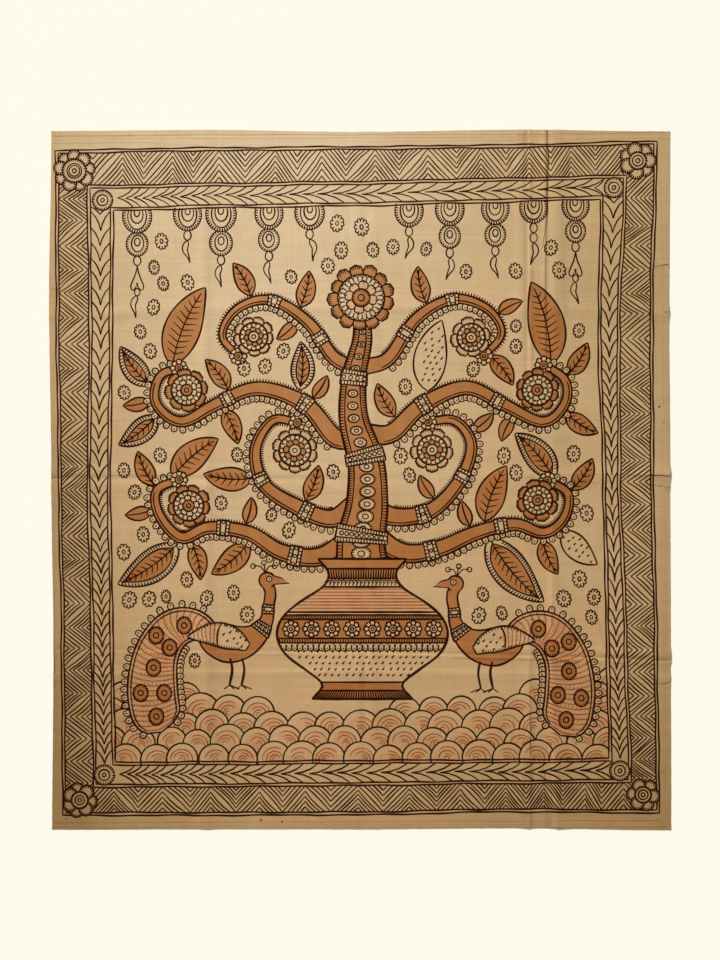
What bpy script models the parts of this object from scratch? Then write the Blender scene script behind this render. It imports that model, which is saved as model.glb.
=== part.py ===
"""A pen-drawn and dye-painted cotton panel, laid out flat with its pressed folds still in it.

Metres, +Z up. The cloth's drawn side faces up, its top edge lies towards +Y and its left edge
towards -X. The origin is the middle of its box, at the height of the surface it lies on.
"""

from functools import partial

import bmesh
import bpy
import numpy as np

# Driving sizes
PANEL_WIDTH = 1.039
PANEL_HEIGHT = 1.170
CLOTH_THICKNESS = 0.001
MILLIMETRE = 0.001

# How far each edge lies inside the panel's box, in millimetres, at even steps along it.
# The side edges are read from the top down, the top and bottom edges from left to right.
EDGE_INSETS_MM = {
    "left": (3.8, 0.0, 3.8, 7.5, 5.2),
    "right": (1.7, 3.3, 1.7, 0.8, 0.0),
    "top": (2.3, 0.2, 3.5, 0.0, 2.7),
    "bottom": (1.0, 1.7, 1.7, 3.4, 0.0),
}

# The pressed folds, a row for each, in millimetres:
#   runs     down the cloth, read from the top, or across it, read from the left
#   line     how far its line lies right of the panel's middle, or above it, at even steps
#   lift     its height at the same steps: above 0 the cloth rises to a ridge on the line,
#            and below 0 it is pinched down on the line between two low swells
#   before   how far the fold reaches to the left of its line, or above it
#   after    how far it reaches to the right of its line, or below it
FOLD_COLUMNS = ("name", "runs", "line", "lift", "before", "after")
FOLD_ROWS = (
    ("left", "down", (-257, -259, -256, -256, -256), (1.2, 1.6, 1.8, 2.0, 1.4), 26, 22),
    ("middle", "down", (8, 11, 10, 9, 10), (-0.6, -1.2, -1.0, -1.5, -0.8), 30, 32),
    ("right_inner", "down", (279, 280, 282, 284, 282), (-1.6, -1.8, 0.6, 1.6, 2.4), 28, 12),
    ("right_outer", "down", (314, 312, 322, 320, 328), (-2.6, -2.4, 2.0, 2.2, 2.4), 12, 40),
    ("upper", "across", (275, 285, 287, 286, 279), (1.8, 1.6, 1.8, 1.2, 2.0), 26, 22),
    ("centre", "across", (3, 2, 1, 6, 9), (-2.2, -1.6, -1.2, 1.8, 2.8), 26, 34),
    ("lower_first", "across", (-284, -286, -288, -294, -302), (-1.2, -0.8, -0.8, -2.0, -2.4), 26, 9),
    ("lower_second", "across", (-326, -322, -320, -324, -331), (1.8, 1.6, 1.8, 1.4, 1.2), 9, 26),
)
FOLDS = [dict(zip(FOLD_COLUMNS, row)) for row in FOLD_ROWS]
# Brings a pinched fold's swells to their stated height, a third of the way out
SWELL_GAIN = 6.75

# Where the mesh has a line beside each fold, as shares of the fold's reach
BEFORE_SHARES = (-1.0, -0.34, 0.0)
AFTER_SHARES = (0.34, 1.0)
# The widest plain stretch that the mesh crosses in one step
WIDEST_STEP = 0.14
# Rounds of moving a mesh point along its row and its column until it lies on both
PLACING_ROUNDS = 4


def along(values, share):
    """A smooth value at a share, 0 to 1, of the way along evenly spaced values in millimetres."""
    spaced = np.asarray(values, float) * MILLIMETRE
    place = np.clip(share, 0.0, 1.0) * (len(spaced) - 1)
    low = np.minimum(np.floor(place).astype(int), len(spaced) - 2)
    part = place - low
    eased = part * part * (3.0 - 2.0 * part)
    return spaced[low] * (1.0 - eased) + spaced[low + 1] * eased


def share_along(runs, place):
    """How far a place lies from the end that a line which runs down or across is read from."""
    if runs == "down":
        return 0.5 - place / PANEL_HEIGHT
    return 0.5 + place / PANEL_WIDTH


def edge_line(edge, place):
    """Where an edge lies beside a place, its Y for a side edge and its X for the others."""
    if edge in ("left", "right"):
        inset = along(EDGE_INSETS_MM[edge], share_along("down", place))
        reach = PANEL_WIDTH / 2 - inset
    else:
        inset = along(EDGE_INSETS_MM[edge], share_along("across", place))
        reach = PANEL_HEIGHT / 2 - inset
    return reach if edge in ("right", "top") else -reach


def fold_line(fold, offset, place):
    """Where the line that runs beside a fold, an offset after it, lies beside a place."""
    line = along(fold["line"], share_along(fold["runs"], place))
    return line + offset if fold["runs"] == "down" else line - offset


def line_between(low, high, share, place):
    """Where a line lies that runs between two others, a share of the way from the first."""
    return low(place) * (1.0 - share) + high(place) * share


def fold_lift(fold, x, y):
    """How far one fold lifts the cloth at x, y."""
    place = y if fold["runs"] == "down" else x
    line = fold_line(fold, 0.0, place)
    after = x - line if fold["runs"] == "down" else line - y
    reach = np.where(after < 0.0, fold["before"], fold["after"]) * MILLIMETRE
    out = np.clip(np.abs(after) / reach, 0.0, 1.0)
    height = along(fold["lift"], share_along(fold["runs"], place))
    ridge = (1.0 - out) ** 2
    pinch = SWELL_GAIN * out * (1.0 - out) ** 2
    return np.where(height > 0.0, height * ridge, -height * pinch)


def cloth_lift(x, y):
    """The height of the cloth's underside at x, y, with all its folds."""
    return sum(fold_lift(fold, x, y) for fold in FOLDS)


def mesh_lines(runs, first_edge, last_edge):
    """The lines of the mesh that run one way, in order, from one edge of the cloth to the other."""
    lines = [partial(edge_line, first_edge)]
    for fold in FOLDS:
        if fold["runs"] == runs:
            offsets = [share * fold["before"] * MILLIMETRE for share in BEFORE_SHARES]
            offsets += [share * fold["after"] * MILLIMETRE for share in AFTER_SHARES]
            lines += [partial(fold_line, fold, offset) for offset in offsets]
    lines.append(partial(edge_line, last_edge))
    stepped = lines[:1]
    for low, high in zip(lines, lines[1:]):
        steps = int(np.ceil(abs(high(0.0) - low(0.0)) / WIDEST_STEP))
        stepped += [partial(line_between, low, high, step / steps) for step in range(1, steps)]
        stepped.append(high)
    return stepped


def crossing(column, row):
    """The point where a line that runs down crosses one that runs across."""
    x = 0.0
    y = 0.0
    for _ in range(PLACING_ROUNDS):
        x = float(column(y))
        y = float(row(x))
    return x, y


def remove_scene_objects():
    for item in list(bpy.data.objects):
        bpy.data.objects.remove(item, do_unlink=True)


def dyed_cotton():
    """Cotton in the warm tan of its first dye bath."""
    material = bpy.data.materials.new("dyed_cotton")
    material.use_nodes = True
    shader = material.node_tree.nodes["Principled BSDF"]
    shader.inputs["Base Color"].default_value = (0.55, 0.36, 0.18, 1.0)
    shader.inputs["Roughness"].default_value = 0.85
    shader.inputs["Metallic"].default_value = 0.0
    return material


def make_cotton_panel():
    """A thin sheet on its folds, flat on the surface between them."""
    columns = mesh_lines("down", "left", "right")
    rows = mesh_lines("across", "top", "bottom")
    shape = bmesh.new()
    grid = []
    for row in rows:
        places = [crossing(column, row) for column in columns]
        grid.append([shape.verts.new((x, y, float(cloth_lift(x, y)))) for x, y in places])
    for upper, lower in zip(grid, grid[1:]):
        for k in range(len(columns) - 1):
            shape.faces.new((lower[k], lower[k + 1], upper[k + 1], upper[k]))
    mesh = bpy.data.meshes.new("cotton_panel")
    shape.to_mesh(mesh)
    shape.free()
    mesh.materials.append(dyed_cotton())
    panel = bpy.data.objects.new("cotton_panel", mesh)
    bpy.context.scene.collection.objects.link(panel)
    # The mesh so far is the underside, and the thickness grows upwards from it
    thickness = panel.modifiers.new("thickness", "SOLIDIFY")
    thickness.thickness = CLOTH_THICKNESS
    thickness.offset = 1.0
    thickness.use_rim = True


def main():
    remove_scene_objects()
    make_cotton_panel()


main()
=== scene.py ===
"""The looks of a pen-drawn, dye-painted cotton panel that lies flat with its pressed folds.

The drawing is made of shapes on the cloth, in millimetres from the cloth's middle, with X to the
right and Y towards its top edge. They are cut into the sheet's own mesh, so that each pen line is
an area of the cloth that took up the dye. Everything else here is in metres, +Z up.
"""

import math
import random

import bpy
import numpy as np
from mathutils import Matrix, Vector
from mathutils.bvhtree import BVHTree
from mathutils.geometry import delaunay_2d_cdt


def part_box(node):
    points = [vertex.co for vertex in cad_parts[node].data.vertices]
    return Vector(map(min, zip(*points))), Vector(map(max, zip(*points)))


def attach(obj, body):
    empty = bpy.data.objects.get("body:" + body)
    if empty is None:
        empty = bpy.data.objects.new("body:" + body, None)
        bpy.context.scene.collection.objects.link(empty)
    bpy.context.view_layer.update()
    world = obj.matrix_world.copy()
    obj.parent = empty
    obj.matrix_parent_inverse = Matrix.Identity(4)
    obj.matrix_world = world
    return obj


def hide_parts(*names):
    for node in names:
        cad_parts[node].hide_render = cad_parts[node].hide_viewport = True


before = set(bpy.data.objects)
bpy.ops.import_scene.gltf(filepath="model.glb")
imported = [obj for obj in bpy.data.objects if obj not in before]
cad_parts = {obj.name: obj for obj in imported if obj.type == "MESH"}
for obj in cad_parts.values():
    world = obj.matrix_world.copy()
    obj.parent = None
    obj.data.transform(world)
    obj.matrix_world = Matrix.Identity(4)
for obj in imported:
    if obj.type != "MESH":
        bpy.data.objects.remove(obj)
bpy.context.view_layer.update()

bl_info = {
    "name": "Pen-drawn cotton panel",
    "version": (1, 0, 0),
    "blender": (4, 5, 0),
    "location": "3D View > Sidebar > Cotton panel",
    "description": "Builds a dye-painted cotton panel with its drawing, weave and pressed folds",
    "category": "Object",
}

MM = 0.001
PANEL_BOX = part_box("cotton_panel")
PANEL_WIDTH = PANEL_BOX[1][0] - PANEL_BOX[0][0]
PANEL_HEIGHT = PANEL_BOX[1][1] - PANEL_BOX[0][1]
SHEET_NAME = "drawn_cotton_sheet"

# How far each edge lies inside the panel's box, in millimetres, at even steps along it
EDGE_INSETS = {
    "left": (3.8, 0.0, 3.8, 7.5, 5.2),
    "right": (1.7, 3.3, 1.7, 0.8, 0.0),
    "top": (2.3, 0.2, 3.5, 0.0, 2.7),
    "bottom": (1.0, 1.7, 1.7, 3.4, 0.0),
}

# The pressed folds, a row for each, in millimetres: where the line runs, how high it stands at even
# steps along it (below 0 it is pinched down between two swells), and how far it reaches each way
FOLD_COLUMNS = ("name", "runs", "line", "lift", "before", "after")
FOLD_ROWS = (
    ("left", "down", (-257, -259, -256, -256, -256), (1.2, 1.6, 1.8, 2.0, 1.4), 26, 22),
    ("middle", "down", (8, 11, 10, 9, 10), (-0.6, -1.2, -1.0, -1.5, -0.8), 30, 32),
    ("right_inner", "down", (279, 280, 282, 284, 282), (-1.6, -1.8, 0.6, 1.6, 2.4), 28, 12),
    ("right_outer", "down", (314, 312, 322, 320, 328), (-2.6, -2.4, 2.0, 2.2, 2.4), 12, 40),
    ("upper", "across", (275, 285, 287, 286, 279), (1.8, 1.6, 1.8, 1.2, 2.0), 26, 22),
    ("centre", "across", (3, 2, 1, 6, 9), (-2.2, -1.6, -1.2, 1.8, 2.8), 26, 34),
    ("lower_first", "across", (-284, -286, -288, -294, -302), (-1.2, -0.8, -0.8, -2.0, -2.4), 26, 9),
    ("lower_second", "across", (-326, -322, -320, -324, -331), (1.8, 1.6, 1.8, 1.4, 1.2), 9, 26),
)
FOLDS = [dict(zip(FOLD_COLUMNS, row)) for row in FOLD_ROWS]
SWELL_GAIN = 6.75
CREST_SOFTNESS = 0.07

# The three drawn frames, each a pair of pen lines. A row gives where the middle of the pair runs on
# each side of the cloth, in millimetres from the cloth's middle, at even steps along that side
FRAME_COLUMNS = ("name", "left", "right", "top", "bottom")
FRAME_ROWS = (
    (
        "outer",
        (-506, -505, -501, -496, -494),
        (494, 487, 488, 494, 498),
        (548, 552, 554, 557, 563),
        (-558, -558, -557, -552, -554),
    ),
    (
        "second",
        (-453, -450, -453, -447, -443),
        (443, 432, 433, 443, 451),
        (489, 493, 496, 501, 506),
        (-511, -510, -508, -505, -503),
    ),
    (
        "field",
        (-414, -416, -419, -415, -411),
        (404, 400, 408, 413, 418),
        (452, 457, 460, 465, 471),
        (-474, -473, -471, -470, -468),
    ),
)
FRAMES = {row[0]: dict(zip(FRAME_COLUMNS, row)) for row in FRAME_ROWS}
# How far apart the two lines of a frame run, how wide they are, and in how many steps each is drawn
FRAME_PAIR_GAP = 4.8
FRAME_WIDTH = 1.8
FRAME_STEPS = {"left": 72, "right": 72, "top": 64, "bottom": 64}

# How much heavier the pen draws than its lines are stated, at the cloth's top and at its foot, and
# how far apart the two places are in millimetres
PEN_WEIGHTS = (1.54, 1.68)
PEN_SPAN = 1100.0
# A full turn in radians, near enough for a phase that chance picks
ANY_PHASE = 6.28


def pen_weight(y):
    """How much heavier the pen draws than stated, at a height on the cloth."""
    first, last = PEN_WEIGHTS
    return first + (last - first) * np.clip(0.5 - np.asarray(y) / PEN_SPAN, 0.0, 1.0)


def left_of(path):
    """The way to the left at each point of a path, one millimetre long."""
    ahead = np.gradient(path, axis=0)
    ahead /= np.maximum(np.hypot(ahead[:, 0], ahead[:, 1]), 1e-9)[:, None]
    return np.stack([-ahead[:, 1], ahead[:, 0]], axis=1)


def way_along(path):
    """How far along a path each of its points lies."""
    legs = np.hypot(*np.diff(path, axis=0).T)
    return np.concatenate([[0.0], np.cumsum(legs)])


class Drawing:
    """The dyed shapes on the cloth, in the order in which they were drawn."""

    FILLS = ("bare", "ochre", "rose")
    LINES = ("ink", "red")
    # Shapes with less area than this are dropped, in square millimetres
    LEAST_AREA = 0.01
    # How much a pen line swells and thins, over what length, and how many widths its ends take
    SWELL = 0.13
    SWELL_LENGTH = 11.0
    END_WIDTHS = 1.8

    def __init__(self, seed):
        self.places = []
        self.shapes = []
        self.dyes = []
        self.depths = []
        self.soaks = []
        self.soaking = False
        self.chance = random.Random(seed)

    def keep_shape(self, numbers, dye, depth, soaks):
        """Notes a shape by the numbers of its places, anticlockwise, unless it has next to no area."""
        ring = [self.places[n] for n in numbers]
        area = ring_area(ring)
        if abs(area) < self.LEAST_AREA:
            return
        self.shapes.append(numbers if area > 0.0 else numbers[::-1])
        self.dyes.append(dye)
        self.depths.append(depth)
        self.soaks.append(soaks)

    def add_shape(self, corners, dye, depth=1.0):
        """A dyed area, given by its corners in order."""
        start = len(self.places)
        self.places.extend((float(x), float(y)) for x, y in corners)
        self.keep_shape(list(range(start, len(self.places))), dye, depth, dye in self.FILLS)

    def ribbon(self, path, widths, dye, depth=1.0):
        """A strip of dye along a path, split where it would cross itself."""
        path = np.asarray(path, float)
        out = left_of(path) * 0.5 * np.broadcast_to(widths, len(path))[:, None]
        soaks = self.soaking or dye in self.FILLS
        left, right = (path + out).tolist(), (path - out).tolist()
        for first, last in whole_runs(left, right):
            ring = [tuple(p) for p in right[first : last + 1] + left[first : last + 1][::-1]]
            start = len(self.places)
            self.places += ring
            self.keep_shape(list(range(start, start + len(ring))), dye, depth, soaks)

    def line(self, path, width, dye="ink", ends=0.75):
        """A pen line, with the swells of the hand, thinner ends and uneven ink."""
        path = np.asarray(path, float)
        far = way_along(path)
        phase = self.chance.uniform(0.0, ANY_PHASE)
        width = width * self.chance.uniform(0.93, 1.07) * pen_weight(path[:, 1])
        swell = 1.0 + self.SWELL * np.sin(far / self.SWELL_LENGTH + phase)
        near_end = np.clip(np.minimum(far, far[-1] - far) / (self.END_WIDTHS * width), 0.0, 1.0)
        depth = self.chance.uniform(0.985, 1.0)
        self.ribbon(path, width * swell * (ends + (1.0 - ends) * near_end), dye, depth)

    def tick(self, start, end, wide, narrow, dye="ink"):
        """A short dash of the pen that thins towards its end."""
        a, b = np.asarray(start, float), np.asarray(end, float)
        ahead = (b - a) / max(math.hypot(*(b - a)), 1e-9)
        across = np.array([-ahead[1], ahead[0]])
        heft = 0.5 * float(pen_weight(a[1]))
        wide, narrow = heft * wide, heft * narrow
        ring = (a - across * wide, b - across * narrow, b + across * narrow, a + across * wide)
        self.add_shape(ring, dye, self.chance.uniform(0.98, 1.0))

    def disc(self, centre, radius, dye, flat=1.0):
        self.add_shape(oval(centre, radius, flat=flat)[:-1], dye)

    def ring(self, centre, radius, width, flat=1.0, turn=0.0):
        """A pen line round an oval, whose end runs a little over its start."""
        first = self.chance.uniform(0.0, 360.0)
        path = oval(centre, radius, first, first + 366.0, flat, turn)
        self.line(path, width, ends=0.8)


def ring_area(ring):
    """The area inside a ring of places, below 0 where it runs clockwise."""
    area = 0.0
    for (x, y), (next_x, next_y) in zip(ring, ring[1:] + ring[:1]):
        area += x * next_y - next_x * y
    return 0.5 * area


def whole_runs(left, right):
    """Splits a strip, given by its two sides, into the longest runs that don't cross themselves."""
    runs = []
    first = 0
    while first < len(left) - 1:
        last = len(left) - 1
        while last > first + 1 and not is_simple(right[first : last + 1] + left[first : last + 1][::-1]):
            last = first + max(1, (last - first) // 2)
        runs.append((first, last))
        first = last
    return runs


def which_side(p, q, r):
    """Above 0 where r lies to the left of the way from p to q, and below 0 to its right."""
    ahead_x, ahead_y = q[..., 0] - p[..., 0], q[..., 1] - p[..., 1]
    return ahead_x * (r[..., 1] - p[..., 1]) - ahead_y * (r[..., 0] - p[..., 0])


def is_simple(ring):
    """Whether no two sides of a ring of places cross or touch, apart from neighbours."""
    a = np.asarray(ring, float)
    b = np.roll(a, -1, axis=0)
    a1, b1, a2, b2 = a[:, None], b[:, None], a[None], b[None]
    second_parted = which_side(a1, b1, a2) * which_side(a1, b1, b2) <= 0.0
    first_parted = which_side(a2, b2, a1) * which_side(a2, b2, b1) <= 0.0
    count = len(ring)
    apart = (np.arange(count)[:, None] - np.arange(count)[None]) % count
    return not (second_parted & first_parted)[(apart > 1) & (apart < count - 1)].any()


def oval(centre, radius, start=0.0, end=360.0, flat=1.0, turn=0.0):
    """Points round an oval, between two angles in degrees, its height flat times its width."""
    count = max(4, int(round((4.0 + 3.1 * math.sqrt(radius)) * abs(end - start) / 360.0)) + 1)
    angles = np.radians(np.linspace(start, end, count))
    x, y = radius * np.cos(angles), radius * flat * np.sin(angles)
    c, s = math.cos(math.radians(turn)), math.sin(math.radians(turn))
    return np.stack([centre[0] + x * c - y * s, centre[1] + x * s + y * c], axis=1)


def evenly(path, step):
    """The path again, with points about a step apart."""
    far = way_along(path)
    places = np.linspace(0.0, far[-1], max(2, int(round(far[-1] / step)) + 1))
    return np.stack([np.interp(places, far, path[:, k]) for k in (0, 1)], axis=1)


def with_ends(knots):
    """The knots of a soft curve, with one more before the first and one more after the last."""
    return np.concatenate([[2 * knots[0] - knots[1]], knots, [2 * knots[-1] - knots[-2]]])


def between(p0, p1, p2, p3, t):
    """What lies between the second and the third of four knots, on the soft curve through them."""
    bend, twist = 2 * p0 - 5 * p1 + 4 * p2 - p3, 3 * p1 - p0 - 3 * p2 + p3
    return 0.5 * (2 * p1 + (p2 - p0) * t + bend * t**2 + twist * t**3)


def smooth(points, step):
    """A soft curve through the points, as points about a step apart."""
    knots = with_ends(np.asarray(points, float))
    t = np.linspace(0.0, 1.0, 9)[:-1, None]
    parts = [between(*four, t) for four in zip(knots, knots[1:], knots[2:], knots[3:])]
    return evenly(np.vstack(parts + [knots[-2:-1]]), step)


def step_at(values, share):
    """Evenly spaced values, the number of the last one before a share of the way, and the rest."""
    spaced = np.asarray(values, float)
    place = np.clip(share, 0.0, 1.0) * (len(spaced) - 1)
    low = np.minimum(np.floor(place).astype(int), len(spaced) - 2)
    return spaced, low, place - low


def along(values, share):
    """A smooth value at a share, 0 to 1, of the way along evenly spaced values."""
    spaced, low, rest = step_at(values, share)
    eased = rest * rest * (3.0 - 2.0 * rest)
    return spaced[low] * (1.0 - eased) + spaced[low + 1] * eased


def swelling(values, share):
    """A smooth value along evenly spaced ones, that doesn't level out at each of them."""
    spaced, low, rest = step_at(values, share)
    knots = with_ends(spaced)
    return between(*(knots[low + k] for k in range(4)), rest)


class Lane:
    """A strip of the cloth along a spine. Along it runs 0 to 1, and across it -1 to 1, right to left."""

    def __init__(self, spine, half_width):
        self.spine = np.asarray(spine, float)
        self.left = left_of(self.spine)
        far = way_along(self.spine)
        self.length = float(far[-1])
        self.share = far / self.length
        self.half = np.array([half_width(t) for t in self.share], float)

    def at(self, along_it, across_it):
        """A place in the lane, or one for each of the steps given."""
        t = np.asarray(along_it, float)
        pick = lambda values: np.interp(t, self.share, values)
        middle = np.stack([pick(self.spine[:, 0]), pick(self.spine[:, 1])], axis=-1)
        left = np.stack([pick(self.left[:, 0]), pick(self.left[:, 1])], axis=-1)
        return middle + left * (pick(self.half) * across_it)[..., None]

    def steps(self, step, start, end):
        """Shares of the lane's length, about a step apart."""
        count = max(2, int(round(self.length * (end - start) / step)) + 1)
        return np.linspace(start, end, count)


def fill_lane(d, lane, dye):
    d.ribbon(lane.spine, 2.0 * lane.half, dye)


def edge_lane(d, lane, across_it, width, step, start=0.0, end=1.0):
    """A pen line along a lane, on its edge or inside it."""
    t = lane.steps(step, start, end)
    d.line(lane.at(t, np.full(len(t), across_it)), width)


# A small petal's outline, as shares of its length and of its width
LOOP_OUTLINE = (
    ((0.0, 0.38), (0.45, 0.52), (0.86, 0.36), (1.0, 0.0))
    + ((0.86, -0.36), (0.45, -0.52), (0.0, -0.38))
)


def loop(d, root, angle, length, width, pen=1.5, seed=True):
    """A small bare petal that stands on a line, with a seed in it."""
    c, s = math.cos(angle), math.sin(angle)
    ring = []
    for u, v in LOOP_OUTLINE:
        ring.append((root[0] + length * u * c - width * v * s, root[1] + length * u * s + width * v * c))
    d.add_shape(ring, "bare")
    d.line(ring, pen, ends=0.9)
    if seed:
        a = (root[0] + 0.42 * length * c, root[1] + 0.42 * length * s)
        b = (root[0] + 0.70 * length * c, root[1] + 0.70 * length * s)
        d.tick(a, b, 1.5, 1.1)


def fringe(d, path, centre, outer, inner, step, wide):
    """Dashes across a line all along it, towards a centre."""
    centre = np.asarray(centre, float)
    for p in evenly(np.asarray(path, float), step):
        d.tick(centre + (p - centre) * outer, centre + (p - centre) * inner, wide, 0.5 * wide)


def comb(d, lane, across_it, reach, pitch, start, end, wide):
    """Dashes along a line in a lane, that reach so far to its left, or to its right below 0."""
    t = lane.steps(pitch, start, end)
    a = lane.at(t, np.full(len(t), across_it))
    left = np.stack([np.interp(t, lane.share, lane.left[:, k]) for k in (0, 1)], axis=1)
    for p, q in zip(a, a + left * reach):
        d.tick(p, q, wide, 0.5 * wide)


def oval_place(centre, radius, angle, flat=1.0, turn=0.0):
    """A place on an oval, at an angle in degrees."""
    x, y = radius * math.cos(math.radians(angle)), radius * flat * math.sin(math.radians(angle))
    c, s = math.cos(math.radians(turn)), math.sin(math.radians(turn))
    return centre[0] + x * c - y * s, centre[1] + x * s + y * c


# A petal's rim: how far from its middle line, as a share of the gap between petals, and how far out
PETAL_RIM = ((-0.5, 0.0), (-0.53, 0.45), (-0.36, 0.86), (0.0, 1.0), (0.36, 0.86), (0.53, 0.45), (0.5, 0.0))


def petal_ring(d, centre, inner, outer, count, dye, ticks, first=0.0, pen=1.8):
    """Rounded petals side by side round a disc, with dashes inside their rims."""
    gap = 360.0 / count
    for k in range(count):
        middle = first + k * gap + d.chance.uniform(-0.04, 0.04) * gap
        reach = outer * d.chance.uniform(0.96, 1.03)
        rim = [oval_place(centre, inner + (reach - inner) * r, middle + a * gap) for a, r in PETAL_RIM]
        d.add_shape(rim + [oval_place(centre, inner * 0.8, middle)], dye)
        d.line(rim, pen, ends=0.9)
        for n in range(ticks):
            a = middle + gap * 0.62 * ((n + 0.5) / ticks - 0.5)
            edge = inner + (reach - inner) * (0.99 - 1.5 * abs((a - middle) / gap) ** 2)
            d.tick(oval_place(centre, edge, a), oval_place(centre, edge * 0.70 + inner * 0.30, a), 1.6, 0.8)


def daisy(d, x, y, radius):
    """The small scattered flower: a scalloped oval, a dash at each notch and an oval eye."""
    lobes = d.chance.choice((9, 10, 10, 11))
    turn = 90.0 + d.chance.uniform(-26.0, 26.0)
    flat = d.chance.uniform(0.72, 0.84)
    rim = []
    for k in range(2 * lobes + 1):
        reach = 0.87 if k % 2 == 0 else 1.03
        rim.append(oval_place((x, y), radius * reach, 180.0 * k / lobes, flat, turn))
    d.line(rim, 1.6, ends=1.0)
    for k in range(lobes):
        angle = 360.0 * k / lobes
        a = oval_place((x, y), radius * 0.90, angle, flat, turn)
        b = oval_place((x, y), radius * 0.60, angle, flat, turn)
        d.tick(a, b, 2.1, 1.2)
    d.ring((x, y), radius * 0.27, 1.4, flat=0.66, turn=turn)


def frame_ends(name, side):
    """Where a drawn frame starts and ends on one side of the cloth, from the left or from the top."""
    rows = FRAMES[name]
    if side in ("left", "right"):
        column = 0 if side == "left" else -1
        return rows["top"][column], rows["bottom"][column]
    row = 0 if side == "top" else -1
    return rows["left"][row], rows["right"][row]


def side_line(name, side, place, inset):
    """Where a drawn frame runs on one side of the cloth, beside a place, moved inwards by an inset."""
    first, last = frame_ends(name, side)
    line = along(FRAMES[name][side], (np.asarray(place, float) - first) / (last - first))
    return line + inset if side in ("left", "bottom") else line - inset


def on_side(side, place, level):
    """X and Y of what lies at a place along a side of the cloth and at a level across it."""
    return (level, place) if side in ("left", "right") else (place, level)


def wander(d, place):
    """How far a ruled line strays from its way, as the hand does."""
    first, second = d.chance.uniform(0.0, ANY_PHASE), d.chance.uniform(0.0, ANY_PHASE)
    return 0.55 * np.sin(place / 27.0 + first) + 0.45 * np.sin(place / 11.0 + second)


def draw_frames(d):
    """Each frame is two pen lines side by side, which cross a little at the corners."""
    for name in FRAMES:
        for inset in (-FRAME_PAIR_GAP / 2, FRAME_PAIR_GAP / 2):
            for side, count in FRAME_STEPS.items():
                first, last = frame_ends(name, side)
                shorter = inset if last > first else -inset
                place = np.linspace(first + shorter, last - shorter, count)
                level = side_line(name, side, place, inset) + wander(d, place)
                d.line(np.stack(on_side(side, place, level), axis=1), FRAME_WIDTH)


def band_place(outer, inner, side, place, across_it):
    """A place in the band between two frames: across it, 0 is at the outer frame and 1 at the inner."""
    low = side_line(outer, side, place, FRAME_PAIR_GAP / 2)
    high = side_line(inner, side, place, -FRAME_PAIR_GAP / 2)
    return on_side(side, place, low + (high - low) * across_it)


def bowed(a, b, bow, count=4):
    """A pen stroke from a to b that bends a little to its left."""
    a, b = np.asarray(a, float), np.asarray(b, float)
    t = np.linspace(0.0, 1.0, count)[:, None]
    left = np.array([-(b - a)[1], (b - a)[0]])
    return a + (b - a) * t + left * bow * np.sin(np.pi * t)


# The zigzag in the outer band turns at these places on each side, from the left or from the top, in
# millimetres from the cloth's middle. The first turn is at the outer rail (0) or the inner one (1)
ZIGZAG_ROWS = (
    (
        "top",
        1,
        (-444, -398, -360, -314, -278, -234, -191, -143, -104, -64, -24)
        + (24, 65, 115, 161, 203, 243, 282, 319, 354, 394, 436),
    ),
    (
        "bottom",
        0,
        (-450, -410, -371, -329, -285, -249, -206, -167, -130, -91, -50, -5)
        + (37, 81, 126, 168, 209, 245, 279, 308, 337, 374, 404, 442),
    ),
    (
        "left",
        0,
        (469, 432, 391, 351, 310, 270, 228, 186, 145, 101, 62, 21)
        + (-16, -55, -93, -132, -167, -206, -245, -281, -318, -356, -397, -433, -470, -508),
    ),
    (
        "right",
        1,
        (469, 425, 389, 352, 310, 276, 235, 187, 152, 110, 75, 31)
        + (-2, -41, -83, -126, -162, -208, -246, -285, -323, -360, -396, -430, -465, -498),
    ),
)
# How many chevrons stand one in another in a wave of the zigzag, one of these by chance
CHEVRONS_IN_A_WAVE = {"top": (5, 6, 6), "bottom": (5, 5, 6), "left": (5, 6, 6), "right": (5, 6, 6)}
CHEVRON_PEN = 1.5

# The arrows in the inner band: how far apart they follow at even steps, from the left or from the
# top, how long their arms are for that, and how wide
ARROW_ROWS = (
    ("top", (13, 18, 23, 25, 29, 24, 25), (1.6, 4.0), 1.5),
    ("bottom", (13, 16, 22, 24, 24, 24, 22, 29), (1.6, 4.0), 1.68),
    ("left", (26, 25, 25, 25, 21, 18, 18, 16, 15), (0.68, 14.0), 1.68),
    ("right", (26, 26, 26, 20, 24, 26, 26, 20, 17, 15), (0.68, 14.0), 1.68),
)
# How far inside the band's end the first arrow's point lies, and how far past the other end they run
FIRST_ARROW = 9.0
LAST_ARROW = 7.0
# Where an arrow's arms start across the band, and how much they bend
ARROW_ARMS = ((0.02, 0.09), (0.98, -0.09))


def chevron_arm(d, foot, tip, inner, bow):
    """One arm of a chevron, that bends in towards a place between its arms."""
    across = (tip[0] - foot[0]) * (inner[1] - foot[1]) - (tip[1] - foot[1]) * (inner[0] - foot[0])
    d.line(bowed(foot, tip, math.copysign(1.0, across) * bow), CHEVRON_PEN)


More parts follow.
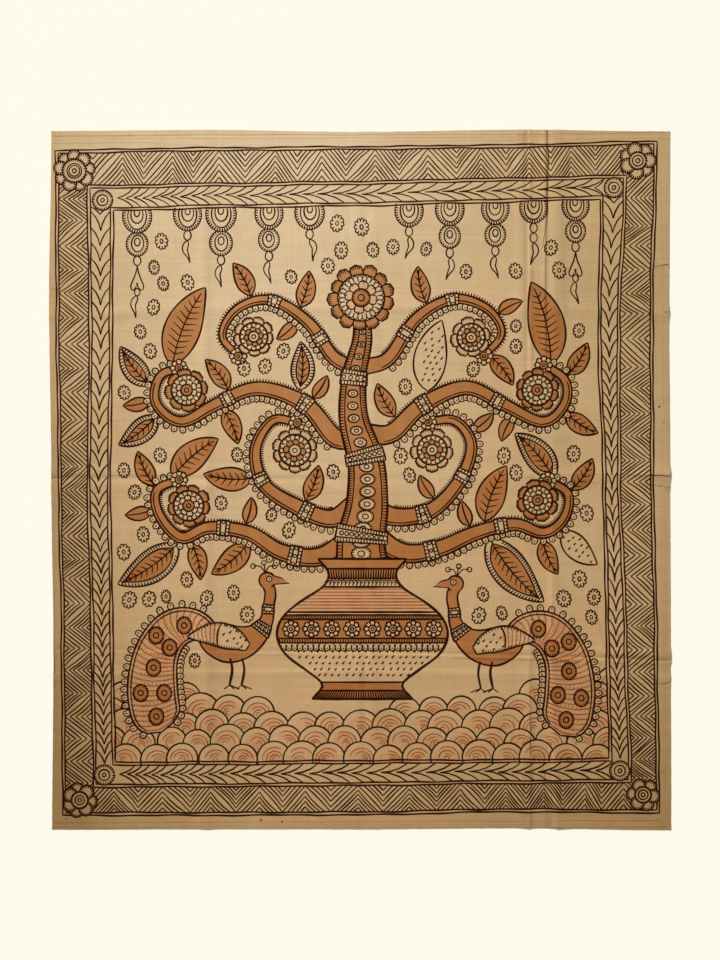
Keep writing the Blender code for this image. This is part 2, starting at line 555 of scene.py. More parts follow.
def draw_zigzags(d):
    """Nested chevrons that fill a zigzag along the outer band."""
    for side, first, turns in ZIGZAG_ROWS:
        places = [turn + d.chance.uniform(-2.0, 2.0) for turn in turns]
        # One more turn at each end, under the corner flowers
        places = [2 * places[0] - places[1]] + places + [2 * places[-1] - places[-2]]
        put = lambda place, level: band_place("outer", "second", side, place, level)
        levels = [float((first + 1 + k) % 2) for k in range(len(places))]
        bows = [d.chance.uniform(-0.005, 0.02) + (0.035 if level else 0.0) for level in levels]
        turned = [put(place, level) for place, level in zip(places, levels)]
        for k in range(len(places) - 1):
            middle = put(places[k + 1], levels[k])
            chevron_arm(d, turned[k], turned[k + 1], middle, bows[k] - 0.02)
        for k, place in enumerate(places):
            point, foot = levels[k], 1.0 - levels[k]
            count = d.chance.choice(CHEVRONS_IN_A_WAVE[side])
            for n in range(1, count):
                share = (n + d.chance.uniform(-0.07, 0.07)) / count
                tip = put(place, point + (foot - point) * share)
                for other, bow in ((k - 1, bows[k - 1]), (k + 1, bows[k])):
                    if 0 <= other < len(places):
                        rest = (1.0 - share) * d.chance.uniform(0.98, 1.02)
                        end = put(place + (places[other] - place) * rest, foot)
                        chevron_arm(d, end, tip, put(place, foot), bow + d.chance.uniform(-0.01, 0.01))


def draw_herringbones(d):
    """Arrows one behind another along the inner band: they point left, or down on the sides."""
    for side, pitches, (gain, least), width in ARROW_ROWS:
        start, end = frame_ends("field", side)
        way = 1.0 if end > start else -1.0
        backwards = 1.0 if side in ("top", "bottom") else -1.0
        tip = start + way * FIRST_ARROW
        while (end - tip) * way > -LAST_ARROW:
            pitch = float(along(pitches, (tip - start) / (end - start)))
            back = tip + backwards * way * (gain * pitch + least) * d.chance.uniform(0.92, 1.08)
            back = min(max(back, min(start, end) - 4.0), max(start, end) + 4.0)
            point = band_place("second", "field", side, tip, 0.5 + d.chance.uniform(-0.04, 0.04))
            for level, bend in ARROW_ARMS:
                turn = bend if side in ("top", "left") else -bend
                d.line(bowed(band_place("second", "field", side, back, level), point, turn), width)
            tip += way * pitch * d.chance.uniform(0.93, 1.07)


# The flowers over the outer frame's corners, in millimetres: where each stands, how far its petals
# reach and their number, its middle disc, and the circles in it. Then the small ones inside them
CORNER_ROWS = (
    ((-477, 516), 35.0, 9, 21.0, (12.4, 9.0, 3.4)),
    ((464, 533), 31.0, 7, 15.5, (9.0, 3.6)),
    ((-468, -535), 29.5, 7, 15.0, (7.8, 3.2)),
    ((473, -526), 28.0, 6, 14.5, (8.2, 3.4)),
)
INNER_CORNERS = ((-430, 467), (424, 488), (434, -486), (-427, -493))


def draw_corner_flowers(d):
    """Petals with combed rims round a fringed disc in each corner, and a small disc inside it."""
    for centre, reach, petals, disc, circles in CORNER_ROWS:
        turn = d.chance.uniform(0.0, 360.0)
        gap = 360.0 / petals
        for k in sorted(range(petals), key=lambda k: k % 2):
            middle = turn + gap * (k + d.chance.uniform(-0.06, 0.06))
            wide = (reach - disc) * 0.5 + 4.6
            heart = oval_place(centre, reach - wide, middle)
            rim = oval(heart, wide, middle - 125.0, middle + 125.0)
            d.add_shape(oval(heart, wide)[:-1], "bare")
            d.line(rim, 1.5)
            fringe(d, rim, heart, 1.12, 0.64, 4.4, 2.2)
        d.disc(centre, disc, "bare")
        rim = oval(centre, disc * 0.94)
        d.line(rim, 1.7)
        fringe(d, rim[:-1], centre, 1.14, 0.82, 4.0, 1.9)
        for radius in circles:
            d.ring(centre, radius, 1.6)
    for centre in INNER_CORNERS:
        rim = oval(centre, 17.0, flat=d.chance.uniform(0.92, 1.0), turn=d.chance.uniform(0.0, 90.0))
        d.add_shape(rim[:-1], "bare")
        d.line(rim, 1.6)
        fringe(d, rim[:-1], centre, 1.08, 0.76, 4.6, 1.9)
        d.ring(centre, 9.2, 1.6)
        d.ring(centre, 3.6, 1.5, flat=0.8, turn=60.0)


def fringed_disc(d, centre, radius, flat, start, end, eggs=(0.64, 0.42, 0.18)):
    """A disc with heavy dashes inside its rim, and a nest of ovals that hang from its upper side."""
    rim = oval(centre, radius, start, end, flat)
    d.add_shape(rim if abs(end - start) < 350.0 else rim[:-1], "bare")
    d.line(rim, 1.4)
    fringe(d, rim, centre, 1.03, 0.79, 4.7, 2.1)
    for share in eggs:
        hung = (centre[0] + d.chance.uniform(-0.8, 0.8), centre[1] + radius * flat * (0.66 - share) * 0.42)
        d.line(oval(hung, radius * share, start - 8.0, end + 8.0, flat * 1.22), 1.6)


def leaf_drop(d, top, tip, half):
    """A slim drop with a long curling tail."""
    top, tip = np.asarray(top, float), np.asarray(tip, float)
    bend = d.chance.choice((-0.16, 0.16)) * (tip - top)[::-1] * np.array([1.0, -1.0])
    spine = smooth([top, top + 0.38 * (tip - top) + bend, top + 0.74 * (tip - top) + 0.3 * bend, tip], 4.0)
    lane = Lane(spine, lambda t: half * math.sin(math.pi * min(1.0, t * 1.02) ** 0.55) ** 1.3 + 0.1)
    edge_lane(d, lane, 1.0, 1.5, 4.0)
    edge_lane(d, lane, -1.0, 1.5, 4.0)


# One arm of a bell, to the right of its middle and below its top
BELL_ARM = ((0.0, 0.0), (3.0, -14.0), (10.0, -31.0), (10.5, -38.0), (6.0, -41.0), (1.5, -34.0))


def bell(d, x, y):
    """The long bell in a pendant: two arms that flare out to small lobes."""
    for side in (-1.0, 1.0):
        d.line(smooth([(x + side * u, y + v) for u, v in BELL_ARM], 4.5), 1.5)
    d.line(smooth(((x - 1.0, y - 28.0), (x, y - 36.0), (x + 1.0, y - 28.0)), 4.0), 1.3)


GARLAND_SIZE = 24.5
# Where the pendants hang, and what each has below its half disc: o is a disc, b a bead, t a bell
GARLAND_ROWS = (
    (-372, "obt"),
    (-288, "b"),
    (-232, "ob"),
    (-152, "ob"),
    (-84, "b"),
    (82, "b"),
    (150, "ob"),
    (226, "ob"),
    (290, "bb"),
    (360, "obt"),
)


def draw_garland(d, x, size, parts):
    """A pendant under the top frame: a fringed half disc, and what hangs from it."""
    y = float(side_line("field", "top", x, FRAME_PAIR_GAP / 2)) - 0.42 * size
    bottom = y - 1.13 * size
    for part in parts:
        if part == "o":
            small = 0.75 * size
            fringed_disc(d, (x, bottom - small), small, 1.12, 0.0, 360.0, (0.56, 0.26))
            bottom -= 2.08 * small
        elif part == "b":
            d.ring((x, bottom - 8.0), 6.2, 1.5, flat=1.3)
            bottom -= 16.5
        else:
            bell(d, x, bottom)
            d.ring((x, bottom - 44.0), 4.6, 1.5, flat=1.35)
            bottom -= 50.0
    fringed_disc(d, (x, y), size, 1.15, 158.0, 382.0)
    leaf_drop(d, (x, bottom), (x + d.chance.uniform(-7.0, 7.0), bottom - 37.0), 4.4)


def draw_garlands(d):
    for x, parts in GARLAND_ROWS:
        draw_garland(d, x, GARLAND_SIZE * d.chance.uniform(0.92, 1.05), parts)


# How long each part of a pendant is, and how long its half disc and tail are together
PART_LENGTHS = {"o": 38.0, "b": 17.0, "t": 50.0}
TAIL_LENGTH = 88.0


def claim_garlands(room):
    """Keeps the place of every pendant free, wide beside its discs and narrow below them."""
    for x, parts in GARLAND_ROWS:
        long = TAIL_LENGTH + sum(PART_LENGTHS[part] for part in parts)
        for half, reach in ((27.0, 92.0 if "o" in parts else 56.0), (13.0, long)):
            dx, y = np.meshgrid(
                np.arange(-half, half + 1.0, CLAIM_STEP), np.arange(462.0 - reach, 470.0, CLAIM_STEP)
            )
            room.claim(np.stack([x + dx.ravel(), y.ravel()], axis=1))


# How far apart the places lie that stand for an area when it is claimed or looked at
CLAIM_STEP = 2.5


class Room:
    """Which places of the picture are taken, on a fine grid."""

    CELL = 3.0

    def __init__(self, low, high):
        self.low = np.array(low, float)
        self.taken = np.zeros(np.ceil((np.array(high, float) - self.low) / self.CELL).astype(int), bool)

    def cells(self, places):
        return np.floor((np.asarray(places, float).reshape(-1, 2) - self.low) / self.CELL).astype(int)

    def claim(self, places):
        cells = self.cells(places)
        cells = cells[((cells >= 0) & (cells < self.taken.shape)).all(axis=1)]
        self.taken[cells[:, 0], cells[:, 1]] = True

    def is_free(self, places):
        cells = self.cells(places)
        if ((cells < 0) | (cells >= self.taken.shape)).any():
            return False
        return not self.taken[cells[:, 0], cells[:, 1]].any()


def disc_places(centre, radius):
    count = int(radius / CLAIM_STEP) + 1
    x, y = np.meshgrid(np.linspace(-radius, radius, 2 * count), np.linspace(-radius, radius, 2 * count))
    keep = np.hypot(x, y) <= radius
    return np.stack([centre[0] + x[keep], centre[1] + y[keep]], axis=1)


def lane_places(lane, grow=1.0, step=CLAIM_STEP, start=0.0):
    """Places all over a lane, perhaps grown to its sides, and from a share of its length on."""
    widest = float(lane.half.max()) * grow
    across = np.linspace(-grow, grow, max(3, int(2 * widest / step) + 1))
    t, s = np.meshgrid(lane.steps(step, start, 1.0), across)
    return lane.at(t.ravel(), s.ravel())


# The picture's ground: a hill of rounded scales. Its crest height at even steps from left to right,
# how wide it is, and how far down and out its scales stand
HILL_CREST = (-318, -332, -350, -362, -372, -372, -366, -350, -344, -330, -310)
HILL_WIDTH = 830.0
HILL_FOOT = -474.0
HILL_REACH = 425.0
# A scale's radius, and how far apart the rows and the scales in a row stand
SCALE_RADIUS = 28.5
SCALE_ROW = 26.0
SCALE_STEP = 49.0
FIRST_SCALE = 440.0
# A scale's arcs, as shares of its radius
SCALE_ARCS = (0.72, 0.48, 0.28, 0.13)


def hill_crest(x):
    return swelling(HILL_CREST, 0.5 + x / HILL_WIDTH)


def draw_scale(d, centre, radius):
    """One rounded scale: an outline, and a broken coil of arcs on a light wash inside it."""
    side = d.chance.uniform(-0.27, 0.27) * radius
    d.disc(centre, radius, "bare")
    wash = oval((centre[0] + 0.6 * side, centre[1] - 0.10 * radius), radius * 0.76)
    d.add_shape(wash[:-1], "rose", d.chance.uniform(0.45, 1.0))
    d.line(oval(centre, radius, -28.0, 208.0), 1.74)
    lean = d.chance.uniform(-34.0, 34.0)
    for share in SCALE_ARCS:
        middle = (centre[0] + side * (1.1 - share), centre[1] - 0.05 * radius + d.chance.uniform(-0.6, 0.6))
        start = lean + d.chance.uniform(-34.0, 44.0)
        end = lean + d.chance.uniform(118.0, 212.0) + (60.0 if share == SCALE_ARCS[-1] else 0.0)
        d.line(oval(middle, radius * share, start, end, 0.94, lean * 0.4), 1.35, "red", ends=0.5)


def draw_hill(d):
    """Rows of scales from the crest down, each row over the feet of the one above."""
    y = max(HILL_CREST)
    row = 0
    while y > HILL_FOOT:
        x = -FIRST_SCALE + (SCALE_STEP / 2 if row % 2 else 0.0)
        while x < FIRST_SCALE:
            centre = (x + d.chance.uniform(-4.0, 4.0), y + d.chance.uniform(-3.0, 3.0))
            radius = SCALE_RADIUS * d.chance.uniform(0.84, 1.14)
            if centre[1] + radius * 0.8 < hill_crest(centre[0]) and abs(centre[0]) < HILL_REACH:
                draw_scale(d, centre, radius)
            x += SCALE_STEP
        y -= SCALE_ROW
        row += 1


def commas_lane(d, lane, start, end, low, high, pitch):
    """Rows of short slanting dabs that fill a strip."""
    for row, t in enumerate(lane.steps(pitch * 0.92, start, end)):
        half = float(np.interp(t, lane.share, lane.half))
        count = int((high - low) * half / pitch)
        for k in range(count + 1):
            place = k + (0.5 if row % 2 else 0.0) + d.chance.uniform(-0.12, 0.12)
            s = low + (high - low) * place / max(count, 1)
            if s > high:
                continue
            x, y = lane.at(t, s)
            d.tick((x, y), (x + 3.8, y + d.chance.uniform(3.0, 5.0)), 2.2, 1.0)


def bead_row(d, lane, across_it, side, pitch, length, start, end, pen):
    """A row of small open petals that stand outwards on one edge of a strip."""
    for t in lane.steps(pitch, start, end)[:-1]:
        root = lane.at(t + 0.5 * pitch / lane.length, across_it)
        angle = heading(lane, t, across_it) + side * math.pi / 2
        size = length * d.chance.uniform(0.92, 1.08)
        loop(d, root, angle + d.chance.uniform(-0.08, 0.08), size, pitch * 0.94, pen=pen, seed=size > 9.0)


def heading(lane, t, across_it):
    """The direction in which a lane runs at a place in it, as an angle."""
    ahead = lane.at(min(t + 0.02, 1.0), across_it) - lane.at(max(t - 0.02, 0.0), across_it)
    return math.atan2(ahead[1], ahead[0])


def cross_line(d, lane, t, bow=0.0, *, width, dye="ink"):
    """A line across a strip, bowed along it."""
    s = np.linspace(-1.0, 1.0, 9)
    d.line(lane.at(t + bow * (1.0 - s**2), s), width, dye)


def stripes_lane(d, lane, start, end, pitch, bow):
    """Red lines across a strip, with dots between some of them."""
    for k, t in enumerate(lane.steps(pitch, start, end)):
        s = np.linspace(-0.94, 0.94, 5)
        d.line(lane.at(np.clip(t + bow * (1.0 - s**2), 0.0, 1.0), s), 1.5, "red")
        if k % 2:
            half = float(np.interp(t, lane.share, lane.half))
            for s in np.linspace(-0.8, 0.8, max(2, int(half / 3.6))):
                x, y = lane.at(min(t + 0.5 * pitch / lane.length, 1.0), s)
                d.tick((x - 0.9, y), (x + 0.9, y), 1.8, 1.8, "red")


def part_lane(lane, start, end, grow=1.0):
    """The part of a strip between two shares of its length, perhaps wider or narrower."""
    t = lane.steps(6.0, start, end)
    widths = np.interp(t, lane.share, lane.half) * grow
    spine = lane.at(t, np.zeros(len(t)))
    return Lane(spine, lambda share: float(np.interp(share, np.linspace(0.0, 1.0, len(t)), widths)))


def leaf_lane(base, angle, length, width, bend):
    """A mango leaf: it swells early and runs out to a curled tip."""
    ahead = np.array([math.cos(angle), math.sin(angle)])
    left = np.array([-ahead[1], ahead[0]])
    t = np.linspace(0.0, 1.0, max(7, int(length / 8.0)))[:, None]
    spine = np.asarray(base, float) + ahead * length * t + left * bend * length * t**2.2
    return Lane(spine, lambda t: 0.5 * width * math.sin(math.pi * min(t, 0.999) ** 0.82) ** 0.8 + 0.15)


def with_half(lane, half):
    """A strip along the same spine, with other half widths."""
    part = Lane(lane.spine, lambda t: 0.0)
    part.half = half
    return part


def inner_lane(lane, rim):
    """The strip inside another one, in by a rim's width all round."""
    return with_half(lane, np.maximum(lane.half - rim, 0.2))


# What each kind of leaf is filled with
LEAF_FILLS = {"ochre": "ochre", "rimmed": "ochre", "fringed": "bare", "striped": "rose", "dotted": "bare"}
# Leaves longer than this have side veins
VEINED_LENGTH = 60.0


def draw_leaf(d, lane, style):
    """A leaf: ochre, rimmed, fringed, striped or dotted."""
    fill_lane(d, lane, LEAF_FILLS[style])
    if style == "fringed":
        core = part_lane(inner_lane(lane, 8.5), 0.08, 0.94)
        core.half *= np.sqrt(np.clip(np.minimum(core.share, 1.0 - core.share) / 0.16, 0.0, 1.0)) + 0.01
        fill_lane(d, core, "ochre")
        for side in (-1.0, 1.0):
            edge_lane(d, core, side, 1.7, 7.0)
            comb(d, lane, side, -side * 6.6, 4.6, 0.14, 0.94, 1.9)
    for side in (-1.0, 1.0):
        edge_lane(d, lane, side, 1.9, 7.0)
    if style == "rimmed":
        rim = inner_lane(lane, 6.5)
        for side in (-1.0, 1.0):
            edge_lane(d, rim, side, 1.4, 8.0, 0.1, 0.93)
            comb(d, lane, side, -side * 5.0, 4.6, 0.12, 0.92, 1.7)
    if style == "striped":
        stripes_lane(d, lane, 0.1, 0.95, 7.5, 0.05)
        return
    if style == "dotted":
        commas_lane(d, lane, 0.14, 0.86, -0.62, 0.62, 10.5)
        return
    edge_lane(d, lane, 0.0, 1.6, 9.0, 0.0, 0.92)
    if lane.length > VEINED_LENGTH:
        reach = 0.62 if style == "ochre" else 0.42
        for t in lane.steps(10.5, 0.14, 0.80):
            for side in (-1.0, 1.0):
                d.tick(lane.at(t, 0.05 * side), lane.at(t + 7.0 / lane.length, reach * side), 1.5, 0.8)


def draw_bloom(d, centre, radius, petals, outer, inner):
    """A round flower: big petals, a wreath of small loops, more petals and a fringed eye."""
    first = d.chance.uniform(0.0, 40.0)
    petal_ring(d, centre, 0.62 * radius, radius, petals, outer, ticks=5, first=first, pen=1.9)
    d.disc(centre, 0.70 * radius, "bare")
    d.ring(centre, 0.70 * radius, 1.8)
    count = max(12, int(4.4 * radius / 9.0))
    for k in range(count):
        angle = 360.0 * k / count
        root = oval_place(centre, 0.50 * radius, angle)
        loop(d, root, math.radians(angle), 0.17 * radius, 7.6, pen=1.3, seed=False)
    petal_ring(d, centre, 0.24 * radius, 0.50 * radius, 8, inner, ticks=1, first=first + 20.0, pen=1.6)
    d.disc(centre, 0.28 * radius, "ochre" if inner != "ochre" else "bare")
    rim = oval(centre, 0.27 * radius)
    d.line(rim, 1.6)
    fringe(d, rim[:-1], centre, 1.05, 0.72, 4.4, 1.7)
    d.ring(centre, 0.10 * radius, 1.5)


# The tree's trunk: its spine from the vase's mouth up, and its width at even steps along it
TRUNK_SPINE = ((4, -150), (2, -100), (12, -40), (10, 30), (-10, 100), (-10, 170), (4, 235), (2, 290))
TRUNK_WIDTHS = (86, 76, 66, 58, 48, 40, 32, 24)
# The tree, the vase and the birds stand about this line
TREE_MIDDLE = 4

# The boughs on the right. Each one's spine, its width at both ends, and its flower's place and size.
# Those on the left are drawn from the same rows, turned over, with small changes of the hand
BOUGH_COLUMNS = ("name", "spine", "widths", "bloom", "radius")
BOUGH_ROWS = (
    (
        "lowest",
        ((12, -90), (70, -124), (135, -116), (196, -92), (258, -80))
        + ((308, -92), (346, -64), (345, -20), (312, 2)),
        (36, 12),
        (298, -40),
        37,
    ),
    (
        "low",
        ((14, -40), (60, -66), (116, -50), (166, -4), (184, 56), (158, 102), (112, 96)),
        (34, 12),
        (120, 44),
        38,
    ),
    (
        "high",
        ((-2, 80), (50, 72), (104, 122), (176, 154), (244, 124))
        + ((302, 94), (345, 124), (343, 172), (306, 192)),
        (34, 12),
        (296, 144),
        37,
    ),
    (
        "highest",
        ((2, 190), (46, 208), (96, 266), (154, 298), (214, 288), (238, 244), (212, 208)),
        (26, 10),
        (184, 242),
        35,
    ),
)
BOUGHS = [dict(zip(BOUGH_COLUMNS, row)) for row in BOUGH_ROWS]
CROWN_BLOOM = (2, 304)
CROWN_RADIUS = 56.0


def taper(first, last):
    """Half a bough's width at a share of its length, from its width at both ends."""
    return lambda t: 0.5 * (first + (last - first) * t**0.8)


def draw_collar(d, lane, t, length, spill=1.2):
    """A bare band round a limb, with a comb at both ends and rings between them."""
    part = part_lane(lane, t, min(1.0, t + length / lane.length), spill)
    half = float(part.half.max())
    fill_lane(d, part, "bare")
    for low, high in ((0.0, 0.26), (1.0, 0.74)):
        for s in np.linspace(-0.9, 0.9, max(4, int(half / 2.5))):
            d.tick(part.at(low, s), part.at(high, s), 1.8, 0.9)
    for share in (0.0, 0.28, 0.72, 1.0):
        cross_line(d, part, share, width=1.7)
    for s in np.linspace(-0.78, 0.78, max(2, int(half / 4.6))):
        d.ring(part.at(0.5, s), 0.13 * length, 1.4)
    for side in (-1.0, 1.0):
        edge_lane(d, part, side, 2.0, 5.0)


def draw_limb(d, lane, side):
    """A bough: ochre wood, a row of beads outside its curve, a comb inside it and two collars."""
    fill_lane(d, lane, "ochre")
    bead_row(d, lane, -side, -side, 10.6, 11.0, 0.10, 0.985, 1.5)
    for edge in (-1.0, 1.0):
        edge_lane(d, lane, edge, 2.1, 8.0)
    comb(d, lane, side, side * 5.4, 4.4, 0.12, 0.97, 1.9)
    rim = inner_lane(lane, 4.6)
    edge_lane(d, rim, -side, 1.4, 9.0, 0.08, 0.9)
    for t in (0.24, 0.52):
        draw_collar(d, lane, t, 21.0)
    tip = lane.spine[-1]
    petal_ring(d, tip, 6.0, 15.0, 8, "bare", ticks=1, pen=1.6)
    d.disc(tip, 7.0, "ochre")
    d.ring(tip, 7.0, 1.6)
    d.ring(tip, 2.6, 1.4)


def draw_trunk(d, lane):
    """The trunk: ochre wood with combs along its edges, ovals up its middle and three collars."""
    fill_lane(d, lane, "ochre")
    inner = inner_lane(lane, 9.0)
    for side in (-1.0, 1.0):
        edge_lane(d, lane, side, 2.3, 8.0)
        edge_lane(d, inner, side, 1.6, 8.0, 0.0, 0.96)
        comb(d, lane, side, -side * 7.2, 4.4, 0.0, 0.97, 1.8)
    for t in lane.steps(21.0, 0.06, 0.95):
        x, y = lane.at(t, 0.0)
        half = float(np.interp(t, lane.share, lane.half)) * 0.40
        d.disc((x, y), half, "bare", 0.72)
        rim = oval((x, y), half, flat=0.72)
        d.line(rim, 1.6)
        fringe(d, rim[:-1], (x, y), 1.0, 0.72, 4.6, 1.5)
        d.ring((x, y), half * 0.36, 1.4, flat=0.8)
    for t in (0.10, 0.40, 0.70):
        draw_collar(d, lane, t, 25.0, 1.12)


# The vase: its half width at even steps from its foot up to its lip
VASE_FOOT = -366.0
VASE_LIP = -132.0
VASE_HALF_WIDTHS = (84, 66, 92, 124, 140, 142, 130, 102, 66, 56, 74)


def draw_belly(d, belly):
    """The vase's wide ochre band, with a comb along both edges and a row of small flowers."""
    fill_lane(d, belly, "ochre")
    for t in (0.0, 0.16, 0.84, 1.0):
        cross_line(d, belly, t, width=2.0)
    for t, end in ((0.0, 0.14), (1.0, 0.86)):
        s = np.linspace(-0.98, 0.98, 66)
        for a, b in zip(belly.at(np.full(66, t), s), belly.at(np.full(66, end), s)):
            d.tick(a, b, 1.8, 0.8)
    for s in np.linspace(-0.84, 0.84, 8):
        centre = belly.at(0.5, s)
        petal_ring(d, centre, 6.0, 14.5, 8, "bare", ticks=1)
        d.disc(centre, 6.5, "rose")
        d.ring(centre, 6.5, 1.8)
        d.ring(centre, 2.6, 1.6)


def draw_vase(d):
    """The vase, in bands: its foot, dabs, loops, the belly, more loops, red stripes and its neck."""
    spine = np.stack([np.full(40, float(TREE_MIDDLE)), np.linspace(VASE_FOOT, VASE_LIP, 40)], axis=1)
    vase = Lane(spine, lambda t: float(swelling(VASE_HALF_WIDTHS, t)))
    fill_lane(d, vase, "bare")
    shoulder = part_lane(vase, 0.62, 0.80)
    fill_lane(d, part_lane(vase, 0.0, 0.12), "ochre")
    fill_lane(d, shoulder, "rose")
    fill_lane(d, part_lane(vase, 0.86, 1.0), "ochre")
    commas_lane(d, part_lane(vase, 0.14, 0.38), 0.1, 0.98, -0.92, 0.92, 11.0)
    draw_belly(d, part_lane(vase, 0.40, 0.60))
    stripes = part_lane(shoulder, 0.1, 0.95, 0.96)
    for t in np.linspace(0.06, 0.96, 7):
        cross_line(d, stripes, t, width=1.5, dye="red")
    for t in (0.62, 0.80):
        cross_line(d, vase, t, width=2.2)
    for s in np.linspace(-0.95, 0.95, 30):
        loop(d, vase.at(0.385, s), -math.pi / 2, 10.0, 8.8)
    for s in np.linspace(-0.9, 0.9, 19):
        loop(d, vase.at(0.81, s), math.pi / 2, 9.0, 8.2)
    for t in (0.12, 0.06, 0.86, 0.93):
        cross_line(d, vase, t, width=2.1)
    for low, high, count in ((0.0, 0.055, 38), (0.865, 0.925, 28)):
        for s in np.linspace(-0.97, 0.97, count):
            d.tick(vase.at(low, s), vase.at(high, s), 1.9, 1.2)
    for t in (0.0, 1.0):
        cross_line(d, vase, t, width=2.6)
    for side in (-1.0, 1.0):
        edge_lane(d, vase, side, 2.6, 7.0)


# The birds: how much larger they are than their rows state, in millimetres from their feet with the
# beak to the left. Then the spine of each part, and its half width at even steps along it
BIRD_SIZE = 1.12
BIRD_FEET = (196, -350.0)


def rounded(t, share):
    """Brings a strip's width round to nothing over the last share of its length."""
    return math.sqrt(max(0.0, 1.0 - max(0.0, (t - 1.0 + share) / share) ** 2)) + 0.004


BIRD_TAIL = ((34, 66), (70, 92), (106, 86), (130, 50), (136, 0), (130, -44), (122, -66))
BIRD_TAIL_HALF_WIDTHS = (8, 20, 28, 31, 34, 37, 37, 36)
# Where the tail's eyes lie, along it and across it
BIRD_TAIL_EYES = (
    ((0.26, 0.0), (0.42, -0.42), (0.44, 0.44), (0.60, 0.0))
    + ((0.75, -0.48), (0.76, 0.46), (0.90, 0.0))
)
BIRD_BODY = ((-34, 158), (-40, 142), (-37, 122), (-34, 100), (-18, 78), (10, 66), (44, 70), (66, 84))
BIRD_BODY_HALF_WIDTHS = (8, 8, 8, 11, 18, 25, 28, 20, 6)
BIRD_WING = ((-6, 60), (14, 72), (44, 80), (84, 76))
BIRD_WING_HALF_WIDTHS = (6, 16, 18, 12, 1)


def bird_lane(put, spine, step, half_widths):
    """A part of a bird as a lane along its spine."""
    return Lane(smooth(put(spine), step), lambda t: BIRD_SIZE * float(swelling(half_widths, t)))


def draw_tail(d, tail, side):
    """A long hanging tail with eyes on it, and beads round its edge where it is clear of the body."""
    fill_lane(d, tail, "rose")
    stripes_lane(d, tail, 0.06, 0.95, 8.0, 0.03)
    for t, s in BIRD_TAIL_EYES:
        eye = tail.at(t, s)
        d.disc(eye, 12.5, "ochre", 1.15)
        rim = oval(eye, 12.5, flat=1.15)
        d.line(rim, 1.7)
        fringe(d, rim[:-1], eye, 1.0, 0.72, 4.6, 1.6)
        d.ring(eye, 4.6, 1.5)
    for s in (-1.0, 1.0):
        bead_row(d, tail, s, s, 10.8, 11.5, 0.16 if s * side > 0.0 else 0.34, 0.985, 1.5)
        edge_lane(d, tail, s, 2.0, 7.0)
        edge_lane(d, inner_lane(tail, 5.5), s, 1.5, 8.0, 0.1, 0.96)


def draw_head(d, put):
    """A round head with a beak, an eye and three beads on its crest."""
    spot = lambda u, v: put(((u, v),))[0]
    head = spot(-35, 160)
    d.disc(head, 13.5, "ochre")
    d.line(oval(head, 13.5, -60.0, 240.0), 2.0)
    d.add_shape(put(((-44, 167), (-66, 157), (-44, 154))), "ochre")
    d.line(put(((-44, 167), (-55, 164), (-68, 156), (-44, 154))), 1.7)
    d.disc(spot(-38, 162), 4.6, "bare")
    d.ring(spot(-38, 162), 4.6, 1.4)
    d.tick(spot(-39, 162), spot(-37, 162), 2.2, 2.2)
    for lean in (-16.0, 0.0, 16.0):
        tip = spot(-30 + lean, 186 - abs(lean) * 0.3)
        d.line(smooth([spot(-33, 170), spot(-31 + lean * 0.4, 181), tip], 5.0), 1.4)
        d.ring(tip, 4.0, 1.4)


def draw_wing(d, wing):
    """A folded wing: dabs in front, red stripes behind, and combs along both edges."""
    fill_lane(d, wing, "bare")
    stripes_lane(d, part_lane(wing, 0.5, 1.0), 0.0, 0.9, 7.0, 0.02)
    commas_lane(d, part_lane(wing, 0.05, 0.46), 0.1, 0.95, -0.7, 0.7, 9.5)
    cross_line(d, wing, 0.48, 0.05, width=1.7)
    cross_line(d, wing, 0.0, -0.06, width=1.7)
    for s in (-1.0, 1.0):
        edge_lane(d, wing, s, 1.9, 6.0)
        comb(d, wing, s, -s * 4.6, 4.6, 0.1, 0.8, 1.6)


def draw_bird(d, room, feet, side):
    """A peacock of the usual kind, that faces the tree: side is 1 on the right and -1 on the left."""
    put = lambda rows: [(feet[0] + side * BIRD_SIZE * u, feet[1] + BIRD_SIZE * v) for u, v in rows]
    tail = bird_lane(put, BIRD_TAIL, 7.0, BIRD_TAIL_HALF_WIDTHS)
    tail.half *= [rounded(t, 0.14) for t in tail.share]
    draw_tail(d, tail, side)
    body = bird_lane(put, BIRD_BODY, 5.0, BIRD_BODY_HALF_WIDTHS)
    fill_lane(d, body, "ochre")
    for s in (-1.0, 1.0):
        edge_lane(d, body, s, 2.0, 6.0)
    draw_head(d, put)
    for t, length in ((0.20, 15.0), (0.36, 17.0)):
        draw_collar(d, body, t, length, 1.12)
    draw_wing(d, bird_lane(put, BIRD_WING, 6.0, BIRD_WING_HALF_WIDTHS))
    for u in (2, 20):
        d.line(smooth(put(((u, 44), (u - 3, 26), (u + 1, 4))), 6.0), 2.6)
        for toe in (-14, -6, 9):
            d.line(put(((u + 1, 4), (u + toe, -2))), 1.7)
    for lane in (tail, body):
        room.claim(lane_places(lane, 1.35))
    head, legs = put(((-38, 172), (8, 20)))
    room.claim(disc_places(head, 36.0))
    room.claim(disc_places(legs, 28.0))


# The leaves' lengths and widths, the kinds that the longer ones take in turn, and how far they may
# turn from their bough, in degrees
LEAF_SIZES = ((138, 60), (118, 54), (98, 47), (80, 39), (62, 31), (44, 23))
LEAF_STYLES = ("ochre", "fringed", "ochre", "striped", "rimmed", "ochre", "dotted", "fringed")
STYLED_LENGTH = 70
LEAF_TURNS = (62, 48, 78, 34, 96)
# The passes in which leaves are set: how far apart, and from which size down
LEAF_PASSES = ((68.0, 0), (46.0, 2), (30.0, 4))


